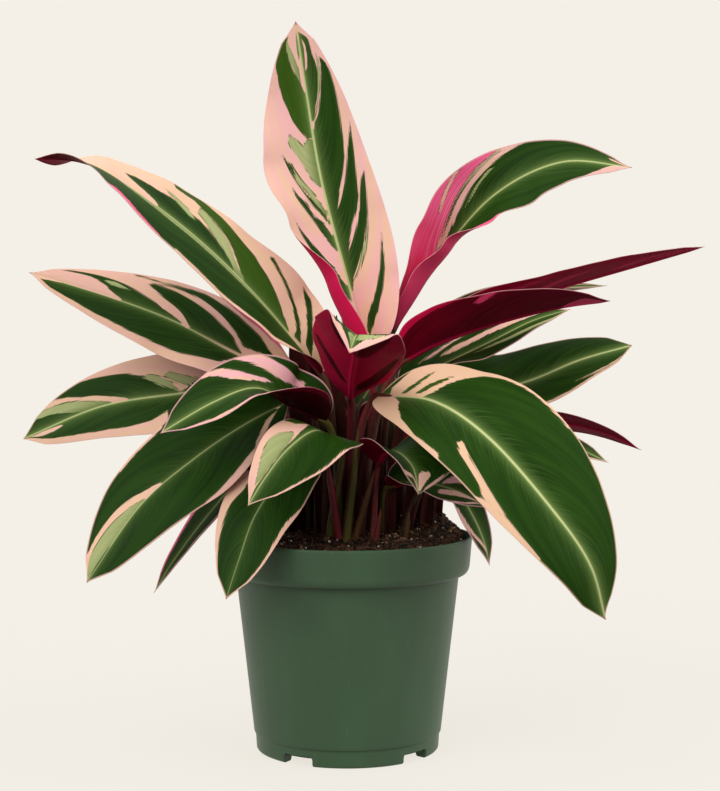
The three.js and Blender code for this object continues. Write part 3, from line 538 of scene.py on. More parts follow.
LEAVES = [
    leaf("leaf_crown", [(14, 3, 255), (-1, 11, 304), (-17, 19, 365), (-27, 27, 423), (-34, 31, 469)],
         [(.1, -1, 0)], (43, 36), [190, 160, 100, 45, 15, 8], [40, 24, 12, 8, 8, 10], (.3, .38), (.68, .68),
         (13, 3), root=(0.08, 0.55), glow=0.75, shine=0.9, stem=0.9),
    leaf("leaf_upper_left",
         [(-17, -5, 241), (-55, -22, 288), (-93, -40, 326), (-136, -58, 359), (-159, -68, 370),
          (-185, -76, 371)],
         [(-.1, -.7, .7), (-.1, -.62, .79), (-.1, -.62, .79), (-.1, -.6, .8), (-.1, -.5, .86), (-.2, .4, .9)],
         (26, 35), [90, 30, 12, 10, 12, 12], [90, 30, 12, 8, 8, 12], (.45, .45), (.64, .64), (-9, -3),
         shine=0.55),
    leaf("leaf_mid_left",
         [(-28, 10, 231), (-75, 16, 254), (-113, 22, 274), (-156, 28, 290), (-209, 32, 306)],
         [(0, -.85, .5)], (28, 28), [90, 35, 12, 10, 10], [90, 45, 18, 10, 10], (.45, .45), (.8, .8),
         (-15, 8)),
    leaf("leaf_side_left",
         [(-31, 26, 228), (-71, 34, 231), (-112, 42, 226), (-165, 50, 217), (-218, 54, 195)],
         [(0, -.87, .5)], (30, 31), [90, 35, 15, 12, 12], [90, 35, 15, 12, 12], (.45, .45), (.65, .65),
         (-20, 17), shine=0.75),
    leaf("leaf_front_left",
         [(-14, -34, 212), (-34, -50, 223), (-55, -61, 234), (-80, -72, 226), (-111, -80, 208)],
         [(0, -.68, .73)], (24, 27), [115, 92, 42, 18, 15], [90, 32, 15, 18, 15], (.4, .4), (.8, .8),
         (-5, -20), glow=-0.2, shine=0.6),
    leaf("leaf_low_left",
         [(-29, -6, 227), (-62, -26, 211), (-94, -46, 190), (-125, -64, 163), (-155, -83, 119)],
         [(-.1, -.8, .6)], (33, 33), [90, 30, 10, 8, 8], [90, 30, 10, 8, 8], (.45, .45), (.72, .72),
         (-18, -7), shine=0.3),
    leaf("leaf_edge_left",
         [(-36, 0, 201), (-63, -8, 180), (-88, -20, 152), (-107, -32, 127), (-120, -40, 106)],
         [(-.7, -.55, .45)], (14, 18), [90, 30, 14, 12, 12], [90, 30, 14, 12, 12], (.45, .45), (.9, .9),
         (-24, 2), stalk=0.8),
    leaf("leaf_drop_left",
         [(-17, -22, 196), (-38, -46, 181), (-55, -70, 158), (-64, -86, 133), (-71, -95, 111)],
         [(-.1, -.85, .5)], (24, 24), [80, 25, 10, 8, 8], [80, 25, 10, 8, 8], (.45, .45), (.7, .7),
         (-14, -14), shine=0.15),
    leaf("leaf_front_small",
         [(-4, -42, 198), (-18, -70, 209), (-34, -92, 200), (-47, -104, 184), (-57, -111, 168)],
         [(0, -.3, 1), (-.1, -.6, .8), (0, -.9, .45), (0, -.9, .45)], (28, 21), [15, 5, 5, 8],
         [30, 10, 5, 8], (.45, .36), (.8, .8), (-12, -26), stalk=0.9),
    leaf("leaf_front_red", [(2, -14, 225), (3, -50, 240), (5, -85, 254), (6, -112, 267), (2, -130, 257)],
         [(.29, -.31, .93), (.19, -.2, .93)], (30, 37), [50, 33, 30, 20, 30], [25, 37, 44, 34, 46],
         (.62, .6), (.47, .73), (1, -6), glow=0.15, stem=1.0),
    leaf("leaf_upper_right", [(30, 40, 268), (57, 38, 311), (94, 31, 355), (138, 22, 377), (183, 12, 373)],
         [(-.05, -.95, .3), (-.05, -.8, .6), (-.05, -.75, .65)], (32, 37), [95, 88, 72, 50, 30, 22, 22],
         [105, 100, 82, 46, 18, 6, 6], (.4, .4), (.9, .9), (22, 19), glow=0.95, shine=0.8),
    leaf("leaf_red_right",
         [(35, -10, 248), (58, -23, 261), (95, -36, 274), (131, -46, 283), (161, -50, 287)],
         [(0, .1, 1)], (26, 28), [70, 45, 25, 22, 20], [70, 55, 45, 42, 30], (.45, .45), (.7, .7), (7, -22),
         glow=0.2),
    leaf("leaf_far_right", [(38, 33, 256), (87, 38, 279), (140, 40, 296), (189, 38, 310), (234, 32, 323)],
         [(0, .1, 1)], (24, 25), [70, 40, 22, 20, 20], [70, 40, 30, 30, 25], (.45, .45), (.7, .7), (31, 20),
         glow=0.8),
    leaf("leaf_striped_right", [(34, 4, 231), (59, 6, 245), (92, 6, 261), (118, 6, 274), (143, 5, 282)],
         [(-.2, -.45, .87)], (21, 21), [80, 35, 20, 15, 15], [80, 35, 15, 12, 12], (.45, .45), (.8, .8),
         (22, 5), stalk=0.9),
    leaf("leaf_side_right", [(42, 24, 219), (74, 33, 223), (119, 41, 234), (154, 45, 248), (189, 46, 258)],
         [(0, -.6, .8)], (33, 27), [70, 30, 10, 8, 8], [80, 35, 10, 8, 8], (.4, .45), (.6, .6), (30, 13),
         shine=1.0),
    leaf("leaf_broad_right",
         [(20, -30, 228), (53, -64, 226), (85, -90, 205), (121, -106, 164), (142, -108, 133),
          (152, -102, 100)],
         [(0, -.6, .8), (.1, -.85, .5)], (47, 34), [50, 12, 8, 10, 8], [15, 2, 6, 8, 8], (.9, .48),
         (1.15, .62), (-1, -28), shine=1.0),
    leaf("leaf_thin_right", [(53, 13, 202), (100, 24, 204), (139, 27, 207), (168, 25, 201), (192, 22, 190)],
         [(0, .5, .86)], (17, 18), [80, 30, 15, 12], [80, 25, 10, 8], (.45, .45), (.9, .9), (38, 8),
         stalk=0.8, glow=0.5),
    leaf("leaf_tuck_right", [(69, 0, 198), (111, 4, 201), (143, 3, 194), (167, -3, 184)],
         [(0, -.5, .87)], (16, 15), [80, 30, 15, 12], [80, 30, 15, 12], (.45, .45), (.8, .8), (38, 1),
         stalk=0.75),
    leaf("leaf_bud_front", [(20, -24, 185), (24, -38, 193), (32, -56, 194), (40, -70, 186), (43, -76, 171)],
         [(.1, -.45, .9)], (34, 18), [50, 30, 20, 12], [50, 45, 32, 15], (.6, .25), (.6, .8), (16, -30),
         stalk=0.75, stem=0.8),
    leaf("leaf_low_right", [(26, -18, 170), (44, -32, 174), (65, -46, 171), (87, -58, 161)],
         [(-.1, -.45, .9)], (20, 17), [80, 35, 15, 12], [80, 35, 15, 12], (.45, .45), (.7, .7), (23, -13),
         stalk=0.75),
    leaf("leaf_hang_right", [(56, -8, 177), (70, -20, 166), (80, -28, 150), (86, -32, 135), (89, -32, 122)],
         [(.5, -.8, .3)], (11, 12), [80, 30, 12, 10], [80, 30, 12, 10], (.45, .45), (.8, .8), (33, -8),
         stalk=0.7),
    leaf("leaf_behind_right",
         [(38, 52, 255), (69, 61, 272), (106, 65, 289), (143, 66, 296), (175, 66, 298)],
         [(0, -.45, .9)], (16, 15), [80, 35, 15, 12], [80, 35, 15, 12], (.45, .45), (.9, .9), (36, 28),
         0.06, 0.9),
    leaf("leaf_back_tall", [(3, 30, 239), (5, 60, 288), (8, 97, 333), (9, 132, 377)],
         [(0, -.6, .8), (0, -.8, .6)], (11, 25), [80, 30, 12, 10], [80, 30, 12, 10], (.45, .45), (.75, .75),
         (4, 22)),
    leaf("leaf_back_drop_left",
         [(-13, 46, 218), (-31, 88, 239), (-39, 120, 216), (-43, 138, 177), (-43, 143, 137)],
         [(0, 0, 1), (0, .8, .6)], (30, 28), [60, 15, 10, 10], [80, 30, 12, 10], (.45, .45), (.65, .65),
         (-9, 37)),
    leaf("leaf_back_drop_right",
         [(6, 45, 216), (25, 86, 239), (42, 116, 217), (50, 134, 174), (53, 136, 130)],
         [(0, 0, 1), (0, .8, .6)], (27, 28), [80, 30, 12, 10], [15, 5, 8, 8], (.6, .9), (.65, .65),
         (4, 41)),
    leaf("leaf_back_left", [(-25, 32, 206), (-59, 70, 212), (-96, 104, 196), (-123, 122, 166)],
         [(-.2, .2, .95)], (25, 25), [80, 30, 12, 10], [80, 30, 12, 10], (.45, .45), (.75, .75), (-15, 25)),
    leaf("leaf_back_right", [(25, 50, 205), (66, 78, 210), (113, 107, 195), (156, 123, 152)],
         [(.2, .2, .95)], (26, 27), [80, 30, 12, 10], [70, 25, 12, 10], (.8, .8), (.75, .75), (24, 35),
         0.05),
    leaf("leaf_back_upper_right", [(26, 56, 237), (56, 92, 260), (104, 124, 276), (148, 140, 284)],
         [(0, .1, 1)], (24, 24), [80, 30, 12, 10], [80, 30, 12, 10], (.6, .6), (.75, .75), (13, 47), 0.1),
    leaf("leaf_back_upper_left", [(-12, 36, 237), (-43, 78, 266), (-78, 116, 295), (-110, 142, 319)],
         [(0, -.2, 1)], (24, 24), [80, 30, 12, 10], [80, 30, 12, 10], (.45, .45), (.75, .75), (-4, 27)),
    leaf("leaf_back_middle", [(-1, 52, 202), (2, 68, 218), (5, 88, 218), (7, 102, 191), (9, 108, 128)],
         [(0, 0, 1), (0, .8, .6)], (26, 26), [60, 20, 10, 10], [60, 20, 10, 10], (.8, .8), (.65, .65),
         (-6, 48)),
]
print(len(LEAVES), "leaves")

# %% [markdown]
# ## Variegation
# The pattern is drawn as patches. A patch is an outline in hundredths: of the way from foot to tip, then of
# the way from the midrib to a margin, negative on the left half. Patches are laid on top of each other in
# order, over a ground of green or cream. Dark is the plain green itself. The number beside the ground is the
# blush, which says how pink the cream parts are.

# %% Listed patches
PATCHES = {
    "leaf_crown": ("cream", 0.75, [
        ("bright", [(96, -77), (95, -100), (91, -100), (88, -95), (85, -82), (70, -35), (67, -23),
                    (65, -10), (65, 0), (73, 0), (79, -5), (83, -15), (85, -28), (92, -62)]),
        ("pale", [(96, -82), (92, -42), (89, -23), (86, -12), (81, -10), (85, -25)]),
        ("pale", [(98, -12), (94, -3), (91, -3), (88, -8), (91, -13), (95, -15)]),
        ("pale", [(64, -50), (60, -35), (56, -23), (53, -17), (49, 0), (64, 0), (65, -12), (63, -22),
                  (65, -33), (67, -48)]),
        ("dark", [(61, -65), (58, -47), (49, -28), (46, -15), (43, -7), (38, -3), (43, -15), (45, -23)]),
        ("pale", [(57, -45), (53, -32), (50, -20), (45, -8), (42, -3), (42, -7), (50, -30), (53, -42)]),
        ("dark", [(52, -57), (48, -43), (46, -33), (42, -27), (40, -15), (37, -7), (34, -2), (30, -3),
                  (39, -25), (48, -52)]),
        ("dark", [(44, -75), (41, -68), (26, -17), (20, -4), (15, -5), (18, -16), (31, -53)]),
        ("pale", [(20, 0), (40, -3), (62, -4), (92, 0)]),
        ("dark", [(97, 8), (96, 47), (95, 65), (90, 53), (86, 52), (82, 45), (78, 33), (75, 20), (70, 8),
                  (70, 0), (91, 0)]),
        ("cream", [(95, 22), (93, 33), (90, 28), (86, 17), (85, 8), (92, 22)]),
        ("dark", [(89, 77), (87, 90), (84, 90), (74, 75), (58, 55), (53, 43), (48, 28), (43, 18), (38, 35),
                  (27, 10), (24, 0), (64, 0), (69, 7), (71, 17), (81, 48)]),
        ("pale", [(90, 67), (88, 70), (76, 28), (70, 10), (77, 27)]),
        ("dark", [(69, 90), (64, 82), (45, 60), (41, 50), (37, 35), (28, 12), (41, 15), (43, 18), (46, 30),
                  (50, 42), (60, 65)]),
        ("dark", [(53, 85), (39, 67), (30, 45), (22, 13), (16, 0), (25, 0), (33, 30), (41, 55), (50, 73)]),
        ("pale", [(40, 67), (34, 57), (25, 28), (21, 12), (22, 20), (26, 38), (30, 52), (35, 62)]),
        ("dark", [(33, 82), (22, 75), (16, 65), (10, 48), (4, 18), (6, 12), (10, 22), (14, 42), (18, 55),
                  (22, 65)]),
    ]),
    "leaf_upper_left": ("cream", 0.35, [
        ("bright", [(14, 2), (27, 42), (35, 64), (54, 99), (63, 100), (62, 86), (56, 84), (53, 74),
                    (46, 60), (42, 44), (34, 3)]),
        ("pale", [(33, 2), (39, 24), (45, 54), (52, 72), (54, 74), (54, 58), (49, 40), (43, 22), (38, 3)]),
        ("dark", [(37, 2), (43, 22), (49, 38), (59, 50), (66, 47), (73, 50), (76, 45), (75, 36), (71, 22),
                  (66, 10), (64, 2)]),
        ("pale", [(53, 34), (57, 52), (65, 66), (63, 56), (60, 46), (56, 36)]),
        ("dark", [(5, 10), (8, 36), (17, 88), (21, 92), (17, 72), (12, 42), (9, 18)]),
        ("dark", [(10, 8), (14, 34), (19, 54), (27, 76), (31, 90), (32, 84), (19, 46), (14, 22), (13, 6)]),
        ("dark", [(0, 0), (100, 0), (100, -110), (0, -110)]),
        ("pale", [(8, 0), (8, -8), (60, -16), (76, -14), (78, 0)]),
        ("cream", [(12, -70), (18, -84), (26, -92), (56, -92), (56, -110), (10, -110)]),
        ("rose", [(57, -110), (62, -94), (78, -82), (84, -110)]),
    ]),
    "leaf_mid_left": ("cream", 0.5, [
        ("dark", [(12, 42), (20, 70), (30, 84), (44, 92), (58, 88), (68, 100), (67, 92), (57, 82), (45, 77),
                  (36, 65), (28, 45), (24, 24)]),
        ("dark", [(23, 6), (29, 36), (38, 54), (48, 68), (60, 80), (62, 74), (55, 44), (48, 28), (43, 4)]),
        ("dark", [(45, 3), (55, 22), (72, 64), (88, 90), (91, 86), (80, 60), (75, 40), (72, 20), (67, 2)]),
        ("pale", [(66, 40), (72, 56), (76, 58), (73, 44)]),
        ("dark", [(24, -3), (28, -50), (40, -74), (60, -80), (78, -79), (92, -74), (96, -50), (93, -18),
                  (88, -3)]),
        ("rose", [(8, 98), (16, 84), (30, 92), (50, 110), (8, 110)]),
    ]),
    "leaf_side_left": ("green", 0.4, [
        ("cream", [(30, 36), (42, 4), (48, 20), (54, 46), (60, 66), (68, 80), (77, 99), (77, 110),
                   (40, 110)]),
        ("pale", [(42, 4), (50, 26), (56, 54), (52, 54), (46, 34)]),
        ("cream", [(60, 3), (69, 26), (77, 52), (86, 98), (91, 98), (86, 74), (80, 52), (74, 26), (66, 3)]),
        ("pale", [(66, 3), (74, 26), (86, 74), (91, 98), (95, 98), (92, 70), (81, 14), (77, 3)]),
        ("cream", [(85, -20), (89, -32), (95, -40), (98, -24), (93, -10), (86, -14)]),
        ("cream", [(46, -42), (52, -66), (60, -76), (75, -78), (90, -70), (99, -46), (100, -110),
                   (46, -110)]),
        ("pale", [(35, 28), (39, 14), (44, 27), (48, 45), (46, 54), (41, 40)]),
    ]),
    "leaf_front_left": ("green", 0.95, [
        ("cream", [(17, 58), (26, 48), (36, 44), (41, 56), (50, 99), (42, 99), (37, 82), (29, 72),
                   (18, 72)]),
        ("cream", [(36, 28), (42, 21), (48, 24), (55, 42), (59, 66), (64, 86), (70, 99), (63, 99), (57, 88),
                   (45, 38)]),
        ("cream", [(4, -84), (20, -86), (34, -84), (46, -90), (70, -84), (90, -88), (92, -110), (4, -110)]),
    ]),
    "leaf_low_left": ("green", 0.5, [
        ("cream", [(58, 2), (66, 18), (76, 46), (84, 64), (91, 84), (94, 110), (100, 110), (97, 80),
                   (80, 40), (66, 2)]),
        ("pale", [(66, 2), (80, 38), (88, 56), (96, 78), (100, 60), (100, 20), (92, 10), (84, 3)]),
        ("cream", [(45, 95), (65, 95), (65, 110), (45, 110)]),
        ("cream", [(11, 4), (12, -24), (18, -30), (26, -60), (30, -80), (45, -88), (56, -98), (50, -110),
                   (28, -92), (22, -60), (14, -36), (9, -10)]),
    ]),
    "leaf_edge_left": ("green", 0.9, [
        ("rose", [(14, 86), (70, 80), (96, 70), (100, 110), (14, 110)]),
        ("cream", [(30, -90), (96, -80), (100, -110), (30, -110)]),
    ]),
    "leaf_drop_left": ("green", 0.4, [
        ("cream", [(38, 60), (47, 60), (55, 74), (92, 98), (90, 110), (36, 110)]),
        ("cream", [(42, -110), (46, -94), (56, -87), (75, -91), (92, -89), (98, -82), (98, -110)]),
    ]),
    "leaf_front_small": ("green", 0.5, [
        ("bright", [(24, 110), (26, 46), (34, 34), (38, 50), (38, 110)]),
        ("cream", [(26, 44), (36, 24), (50, 12), (70, 8), (84, 15), (94, 34), (100, 50), (100, 110),
                   (38, 110), (36, 56)]),
        ("pale", [(46, 38), (52, 62), (62, 76), (72, 70), (89, 36), (84, 18), (70, 10), (54, 14),
                  (47, 24)]),
        ("cream", [(30, -110), (40, -94), (60, -95), (98, -90), (98, -110)]),
    ]),
    "leaf_front_red": ("cream", 0.8, [
        # Painted shade: this leaf shows its underside, and the first and third dark patches, long bands on
        # each half, darken the fold in it that faces forward.
        ("dark", [(12, -18), (14, -50), (22, -72), (33, -83), (48, -88), (62, -96), (50, -78), (41, -60),
                  (30, -42), (22, -18)]),
        ("dark", [(60, 0), (58, -22), (82, -84), (87, -90), (88, -60), (90, -40), (96, -18), (97, 0)]),
        ("dark", [(18, 8), (33, 42), (41, 80), (40, 94), (36, 84), (31, 64), (25, 50), (18, 30)]),
        ("dark", [(62, 0), (62, 26), (82, 84), (88, 86), (87, 58), (90, 46), (97, 30), (97, 0)]),
        ("pale", [(88, 30), (87, 16), (88, 2), (94, 2), (96, 12)]),
        ("pale", [(85, -8), (88, -90), (90, -64), (91, -30), (91, -6)]),
    ]),
    "leaf_upper_right": ("green", 0.7, [
        ("rose", [(0, 0), (28, -13), (34, -21), (45, -44), (66, -97), (70, -110), (0, -110)]),
        ("cream", [(28, -18), (34, -29), (50, -66), (55, -80), (60, -90), (64, -110), (73, -110), (61, -74),
                   (44, -31), (38, -20), (32, -12)]),
        ("pale", [(33, -22), (40, -36), (58, -78), (64, -95), (62, -95)]),
        ("cream", [(54, -100), (51, -95), (43, -70), (39, -60), (38, -63), (42, -77), (50, -100)]),
        ("pale", [(59, -60), (49, -30), (45, -22), (57, -60)]),
        ("rose", [(0, 0), (20, 10), (38, 40), (44, 66), (52, 92), (54, 110), (0, 110)]),
        ("pale", [(90, -5), (99, -4), (99, 0), (60, 0)]),
        ("cream", [(84, 110), (90, 70), (95, 0), (100, 0), (100, 110)]),
        ("cream", [(93, -50), (92, -66), (97, -70), (100, -40), (97, -40)]),
    ]),
    "leaf_red_right": ("green", 0.8, [
        ("cream", [(4, 80), (8, 100), (20, 106), (44, 99), (17, 84), (10, 78)]),
        ("rose", [(44, 82), (48, 95), (53, 100), (59, 100), (56, 97), (47, 78)]),
        ("rose", [(78, 0), (89, 58), (95, 60), (100, 0)]),
    ]),
    "leaf_striped_right": ("green", 0.7, [
        ("pale", [(43, 30), (58, 48), (75, 74), (91, 92), (97, 90), (92, 76), (64, 38), (52, 26)]),
        ("cream", [(27, -35), (36, -48), (71, -68), (80, -62), (84, -44), (76, -36), (54, -38), (33, -26)]),
        ("cream", [(14, -50), (42, -78), (46, -76), (22, -46)]),
    ]),
    "leaf_side_right": ("green", 0.3, [
        ("cream", [(0, 93), (100, 93), (100, 110), (0, 110)]),
        ("cream", [(70, 76), (80, 88), (92, 90), (94, 82), (80, 82)]),
    ]),
    "leaf_broad_right": ("green", 0.2, [
        ("cream", [(0, 0), (7, 10), (11, 34), (14, 62), (18, 82), (26, 93), (36, 90), (40, 110), (0, 110)]),
        ("cream", [(37, 50), (38, 42), (43, 57), (61, 82), (59, 88), (53, 88), (50, 78), (40, 63)]),
        ("cream", [(52, 98), (54, 90), (62, 84), (75, 94), (75, 110), (52, 110)]),
        ("cream", [(4, -2), (12, -2), (17, -5), (19, -27), (20, -47), (22, -70), (25, -88), (30, -95),
                   (52, -97), (52, -110), (10, -110), (4, -60)]),
        ("bright", [(13, -10), (15, -34), (18, -60), (20, -74), (19, -56), (15, -12)]),
        ("bright", [(8, -10), (10, -36), (13, -66), (15, -80), (14, -60), (10, -12)]),
    ]),
    "leaf_tuck_right": ("green", 0.6, [
        ("cream", [(0, 84), (100, 70), (100, 110), (0, 110)]),
    ]),
    "leaf_bud_front": ("green", 0.6, [
        ("cream", [(81, -14), (84, -44), (97, -34), (97, -8), (84, -8)]),
        ("cream", [(84, -88), (95, -60), (98, -90), (90, -96)]),
        ("cream", [(78, 98), (82, 40), (90, 6), (97, -2), (97, 10), (86, 36), (82, 98)]),
    ]),
    "leaf_low_right": ("green", 0.9, [
        ("cream", [(56, 34), (68, 2), (80, -3), (91, 0), (67, 54), (59, 65)]),
        ("cream", [(51, -2), (56, -46), (66, -92), (78, -98), (74, -60)]),
        ("cream", [(70, 98), (82, 70), (90, 20), (93, 24), (86, 76), (76, 98)]),
    ]),
    "leaf_hang_right": ("green", 0.9, [
        ("cream", [(42, 110), (45, 80), (70, 60), (85, 0), (92, -60), (96, -40), (90, 10), (75, 70),
                   (60, 110)]),
    ]),
}

# %% [markdown]
# A leaf without patches of its own gets seeded splashes. Each one is a stripe that runs out from the
# midrib along the side veins, so it leans towards the tip like them.

# %% Splashes along the veins
VEIN_LEAN, VEIN_SWEEP = 0.06, 0.42
SPLASH_SEED = 23
SPLASHES_PER_LEAF = 13


def vein_lean(share):
    """How far a side vein has moved towards the tip: a straight part and a part that grows with the square
    of the way to the margin."""
    return VEIN_LEAN * share + VEIN_SWEEP * share ** 2


def splashes(number):
    """Stripes of cream, pale and bright green in hundredths, different for each leaf."""
    chance = np.random.default_rng(SPLASH_SEED + number)
    patches = []
    for start in np.sort(chance.uniform(2, 78, SPLASHES_PER_LEAF)):
        inner, outer = chance.uniform(0.02, 0.3), chance.uniform(0.55, 1.15)
        share = np.linspace(inner, outer, 5)
        width = chance.uniform(2.5, 11.0)
        kind = chance.choice(["cream", "cream", "pale", "bright"])
        side = chance.choice([-1, 1])
        near = np.stack([start + 100 * vein_lean(share), 100 * side * share], 1)
        patches.append((str(kind), np.vstack([near, near[::-1] + [width, 0]])))
    return "green", float(chance.uniform(0.2, 0.9)), patches


# %% How deep each point lies in each kind of patch
KINDS = ("cream", "pale", "bright", "rose")
DEEPEST = 6.0


def depth_inside(place, corners):
    """Distance to the outline's nearest edge, positive inside. A point is inside when a line from it
    crosses the outline an odd number of times."""
    start, end = corners, np.roll(corners, -1, 0)
    edge = end - start
    away = place[..., None, :] - start
    share = np.clip((away * edge).sum(-1) / (edge ** 2).sum(-1), 0, 1)
    distance = np.linalg.norm(away - share[..., None] * edge, axis=-1).min(-1)
    height = place[..., None, 1]
    crossed = (start[:, 1] > height) != (end[:, 1] > height)
    rise = np.where(edge[:, 1] == 0, 1, edge[:, 1])
    meets = start[:, 0] + (height - start[:, 1]) * edge[:, 0] / rise
    inside = (crossed & (place[..., None, 0] < meets)).sum(-1) % 2 == 1
    return np.where(inside, distance, -distance)


def painted(ground, patches, place, scale):
    """For each kind, the depth in mm of each point in its patches, with later patches over earlier ones."""
    depth = {kind: np.full(place.shape[:-1], DEEPEST if kind == ground else -DEEPEST) for kind in KINDS}
    for kind, outline in patches:
        inside = np.clip(depth_inside(place, np.array(outline, float) * scale), -DEEPEST, DEEPEST)
        for other in KINDS:
            if other == kind:
                depth[other] = np.maximum(depth[other], inside)
            else:
                depth[other] = np.minimum(depth[other], -inside)
    return depth

# %% [markdown]
# ## Shape of a leaf
# The midrib is a smooth curve through its points. Across it each half of the blade bends like an arc: it
# leaves the rib at a steep angle and keeps turning by the same amount on its way to the margin. On top of
# that come a shallow groove along the midrib, a keel below it, and a margin that thins out and waves a
# little.

# %% Curve, outline and arc
def unit(vectors):
    """The same directions with length one."""
    return vectors / np.linalg.norm(vectors, axis=-1, keepdims=True)


def stationed(values, s):
    """Value at s of a list that stands at even steps, eased between its steps."""
    values = np.asarray(values, float)
    last = len(values) - 1
    k = np.clip((s * last).astype(int), 0, max(last - 1, 0))
    ease = np.clip(s * last - k, 0, 1)
    ease = (ease * ease * (3 - 2 * ease)).reshape(-1, *[1] * (values.ndim - 1))
    return values[k] + (values[np.minimum(k + 1, last)] - values[k]) * ease


def midrib(points, s):
    """Points and directions at shares s of the length of a Catmull-Rom curve, and that length in mm."""
    points = np.asarray(points, float)
    line = np.vstack([2 * points[0] - points[1], points, 2 * points[-1] - points[-2]])

    def at(u):
        k = np.clip(u.astype(int), 0, len(points) - 2)
        w = (u - k)[:, None]
        a, b, c, d = (line[k + n] for n in range(4))
        return b + 0.5 * w * (c - a + w * (2 * a - 5 * b + 4 * c - d + w * (3 * b - a - 3 * c + d)))

    u = np.linspace(0, len(points) - 1, 241)
    walked = np.concatenate([[0], np.cumsum(np.linalg.norm(np.diff(at(u), axis=0), axis=1))])
    here, nudge = np.interp(s * walked[-1], walked, u), 0.001
    ahead, behind = (at(np.clip(here + step, 0, u[-1])) for step in (nudge, -nudge))
    return at(here), unit(ahead - behind), walked[-1]


ARCH = 18.0
CURL_SHARE = 0.9
BLADE_THICKNESS, MARGIN_THICKNESS = 0.7, 0.3
FOOT_HALF_WIDTH, TIP_HALF_WIDTH = 0.8, 0.25
GROOVE_DEPTH, GROOVE_REACH = 0.25, 1.3
KEEL_DEPTH, KEEL_REACH = 1.5, 1.2
WAVE_HEIGHT, WAVE_LENGTH, WAVE_REACH = 0.18, 46, 18
MARGIN_REACH = 4
POINT_LENGTH, POINT_POWER = 13.0, 0.4
RIB_SHARE = 0.05
# How far apart two leaves lie in the noise, in mm, so that no two of them have the same streaks.
LEAF_SHIFT = 300


def blade(leaf, s, t, number):
    """Upper and lower points, and numbers on them, at shares s along and t across (negative left).

    Out of the rib goes width (sin(root + bend r) - sin root) / bend and up from it width (cos root -
    cos(root + bend r)) / bend, where r is the size of t. The half width is a power of the way from the foot
    times a power of the way to the tip, and one more power draws the last few millimetres out to a point."""
    spot, along, length = midrib(leaf["rib"], s)
    face = stationed(leaf["face"], s)
    up = unit(face - (face * along).sum(-1, keepdims=True) * along)
    right = np.cross(along, up)
    r, side = np.abs(t), np.where(t < 0, -1.0, 1.0)
    least = FOOT_HALF_WIDTH + (TIP_HALF_WIDTH - FOOT_HALF_WIDTH) * s
    halves = []
    for n in range(2):
        grow, taper = leaf["grow"][n], leaf["taper"][n]
        widest = grow / (grow + taper)
        share = (s / widest) ** grow * ((1 - s) / (1 - widest)) ** taper
        share = share * np.minimum((1 - s) * length / POINT_LENGTH, 1) ** POINT_POWER
        fold = np.radians(stationed(leaf["fold"][n], s))
        bend = CURL_SHARE * fold - math.radians(ARCH)
        bend = np.where(np.abs(bend) < 0.001, 0.001, bend)
        halves.append((np.maximum(leaf["half"][n] * share, least), leaf["root"][n] * fold, bend))
    width, root, bend = (np.where(t < 0, *[column[:, None] for column in pair]) for pair in zip(*halves))
    slope = root + bend * r
    out = side * width * (np.sin(slope) - np.sin(root)) / bend
    lift = width * (np.cos(root) - np.cos(slope)) / bend
    steep = side * np.where(r == 0, (halves[1][1] - halves[0][1])[:, None] / 2, slope)
    normal = np.cos(steep)[..., None] * up[:, None] - np.sin(steep)[..., None] * right[:, None]
    middle = spot[:, None] + out[..., None] * right[:, None] + lift[..., None] * up[:, None]

    across, margin = width * r, width * (1 - r)
    row = s[:, None]
    waves = row * length / WAVE_LENGTH
    wave = np.sin(2 * np.pi * (waves + 0.37 * number + 0.5 * (t > 0)))
    wave = wave + 0.5 * np.sin(2 * np.pi * (2 * waves + 0.71 * number))
    middle = middle + (WAVE_HEIGHT * wave * r ** 2 * np.clip(across / WAVE_REACH, 0, 1))[..., None] * normal
    thicker = (BLADE_THICKNESS - MARGIN_THICKNESS) * np.clip(margin / MARGIN_REACH, 0, 1)
    half_thick = (MARGIN_THICKNESS + thicker) / 2
    groove = GROOVE_DEPTH * np.exp(-(across / GROOVE_REACH) ** 2)
    keel = KEEL_DEPTH * np.exp(-(across / KEEL_REACH) ** 2)
    keel = keel * (1 - 0.75 * row) * np.clip((1 - row) / 0.05, 0, 1)
    upper = middle + (half_thick - groove)[..., None] * normal
    lower = middle - (half_thick + keel)[..., None] * normal
    lengthwise = (row - vein_lean(r)) * length + LEAF_SHIFT * number
    vein = np.stack([lengthwise, side * across, row + 0 * r], -1)
    numbers = {"vein": vein, "across": across, "margin": margin}
    half = np.where(t < 0, leaf["half"][0], leaf["half"][1])
    place = np.stack(np.broadcast_arrays(row * length, side * np.maximum(r, RIB_SHARE) * half), -1)
    ground, blush, patches = PATCHES.get(leaf["name"]) or splashes(number)
    for n, way in enumerate((-1, 1)):
        scale = np.array([length, leaf["half"][n]]) / 100
        own = [(kind, outline) for kind, outline in patches if way * np.sum(np.array(outline)[:, 1]) >= 0]
        here = painted(ground, own, place, scale)
        numbers = {**numbers, **{k: np.where(t * way >= 0, v, numbers.get(k, v)) for k, v in here.items()}}
    numbers["blush"] = np.full(across.shape, blush)
    return upper, lower, numbers


# %% [markdown]
# The stalk is a tube on a Bezier curve. It rises out of the soil, swings over to the blade and runs on for
# a little way under the midrib, where it thins out.

# %% Stalk
ROOT_DEPTH = 12.0
STALK_RISE, STALK_LEAN = 0.42, 0.12
STALK_WAY, STALK_RADIUS = [0, 0.25, 0.8, 0.93, 1], [3.4, 3.0, 2.1, 2.4, 2.2]
RIB_WAY, RIB_RADIUS = [0, 6, 11], [2.2, 1.6, 1.0]
STALK_SIDES, STALK_STEPS = 16, 40


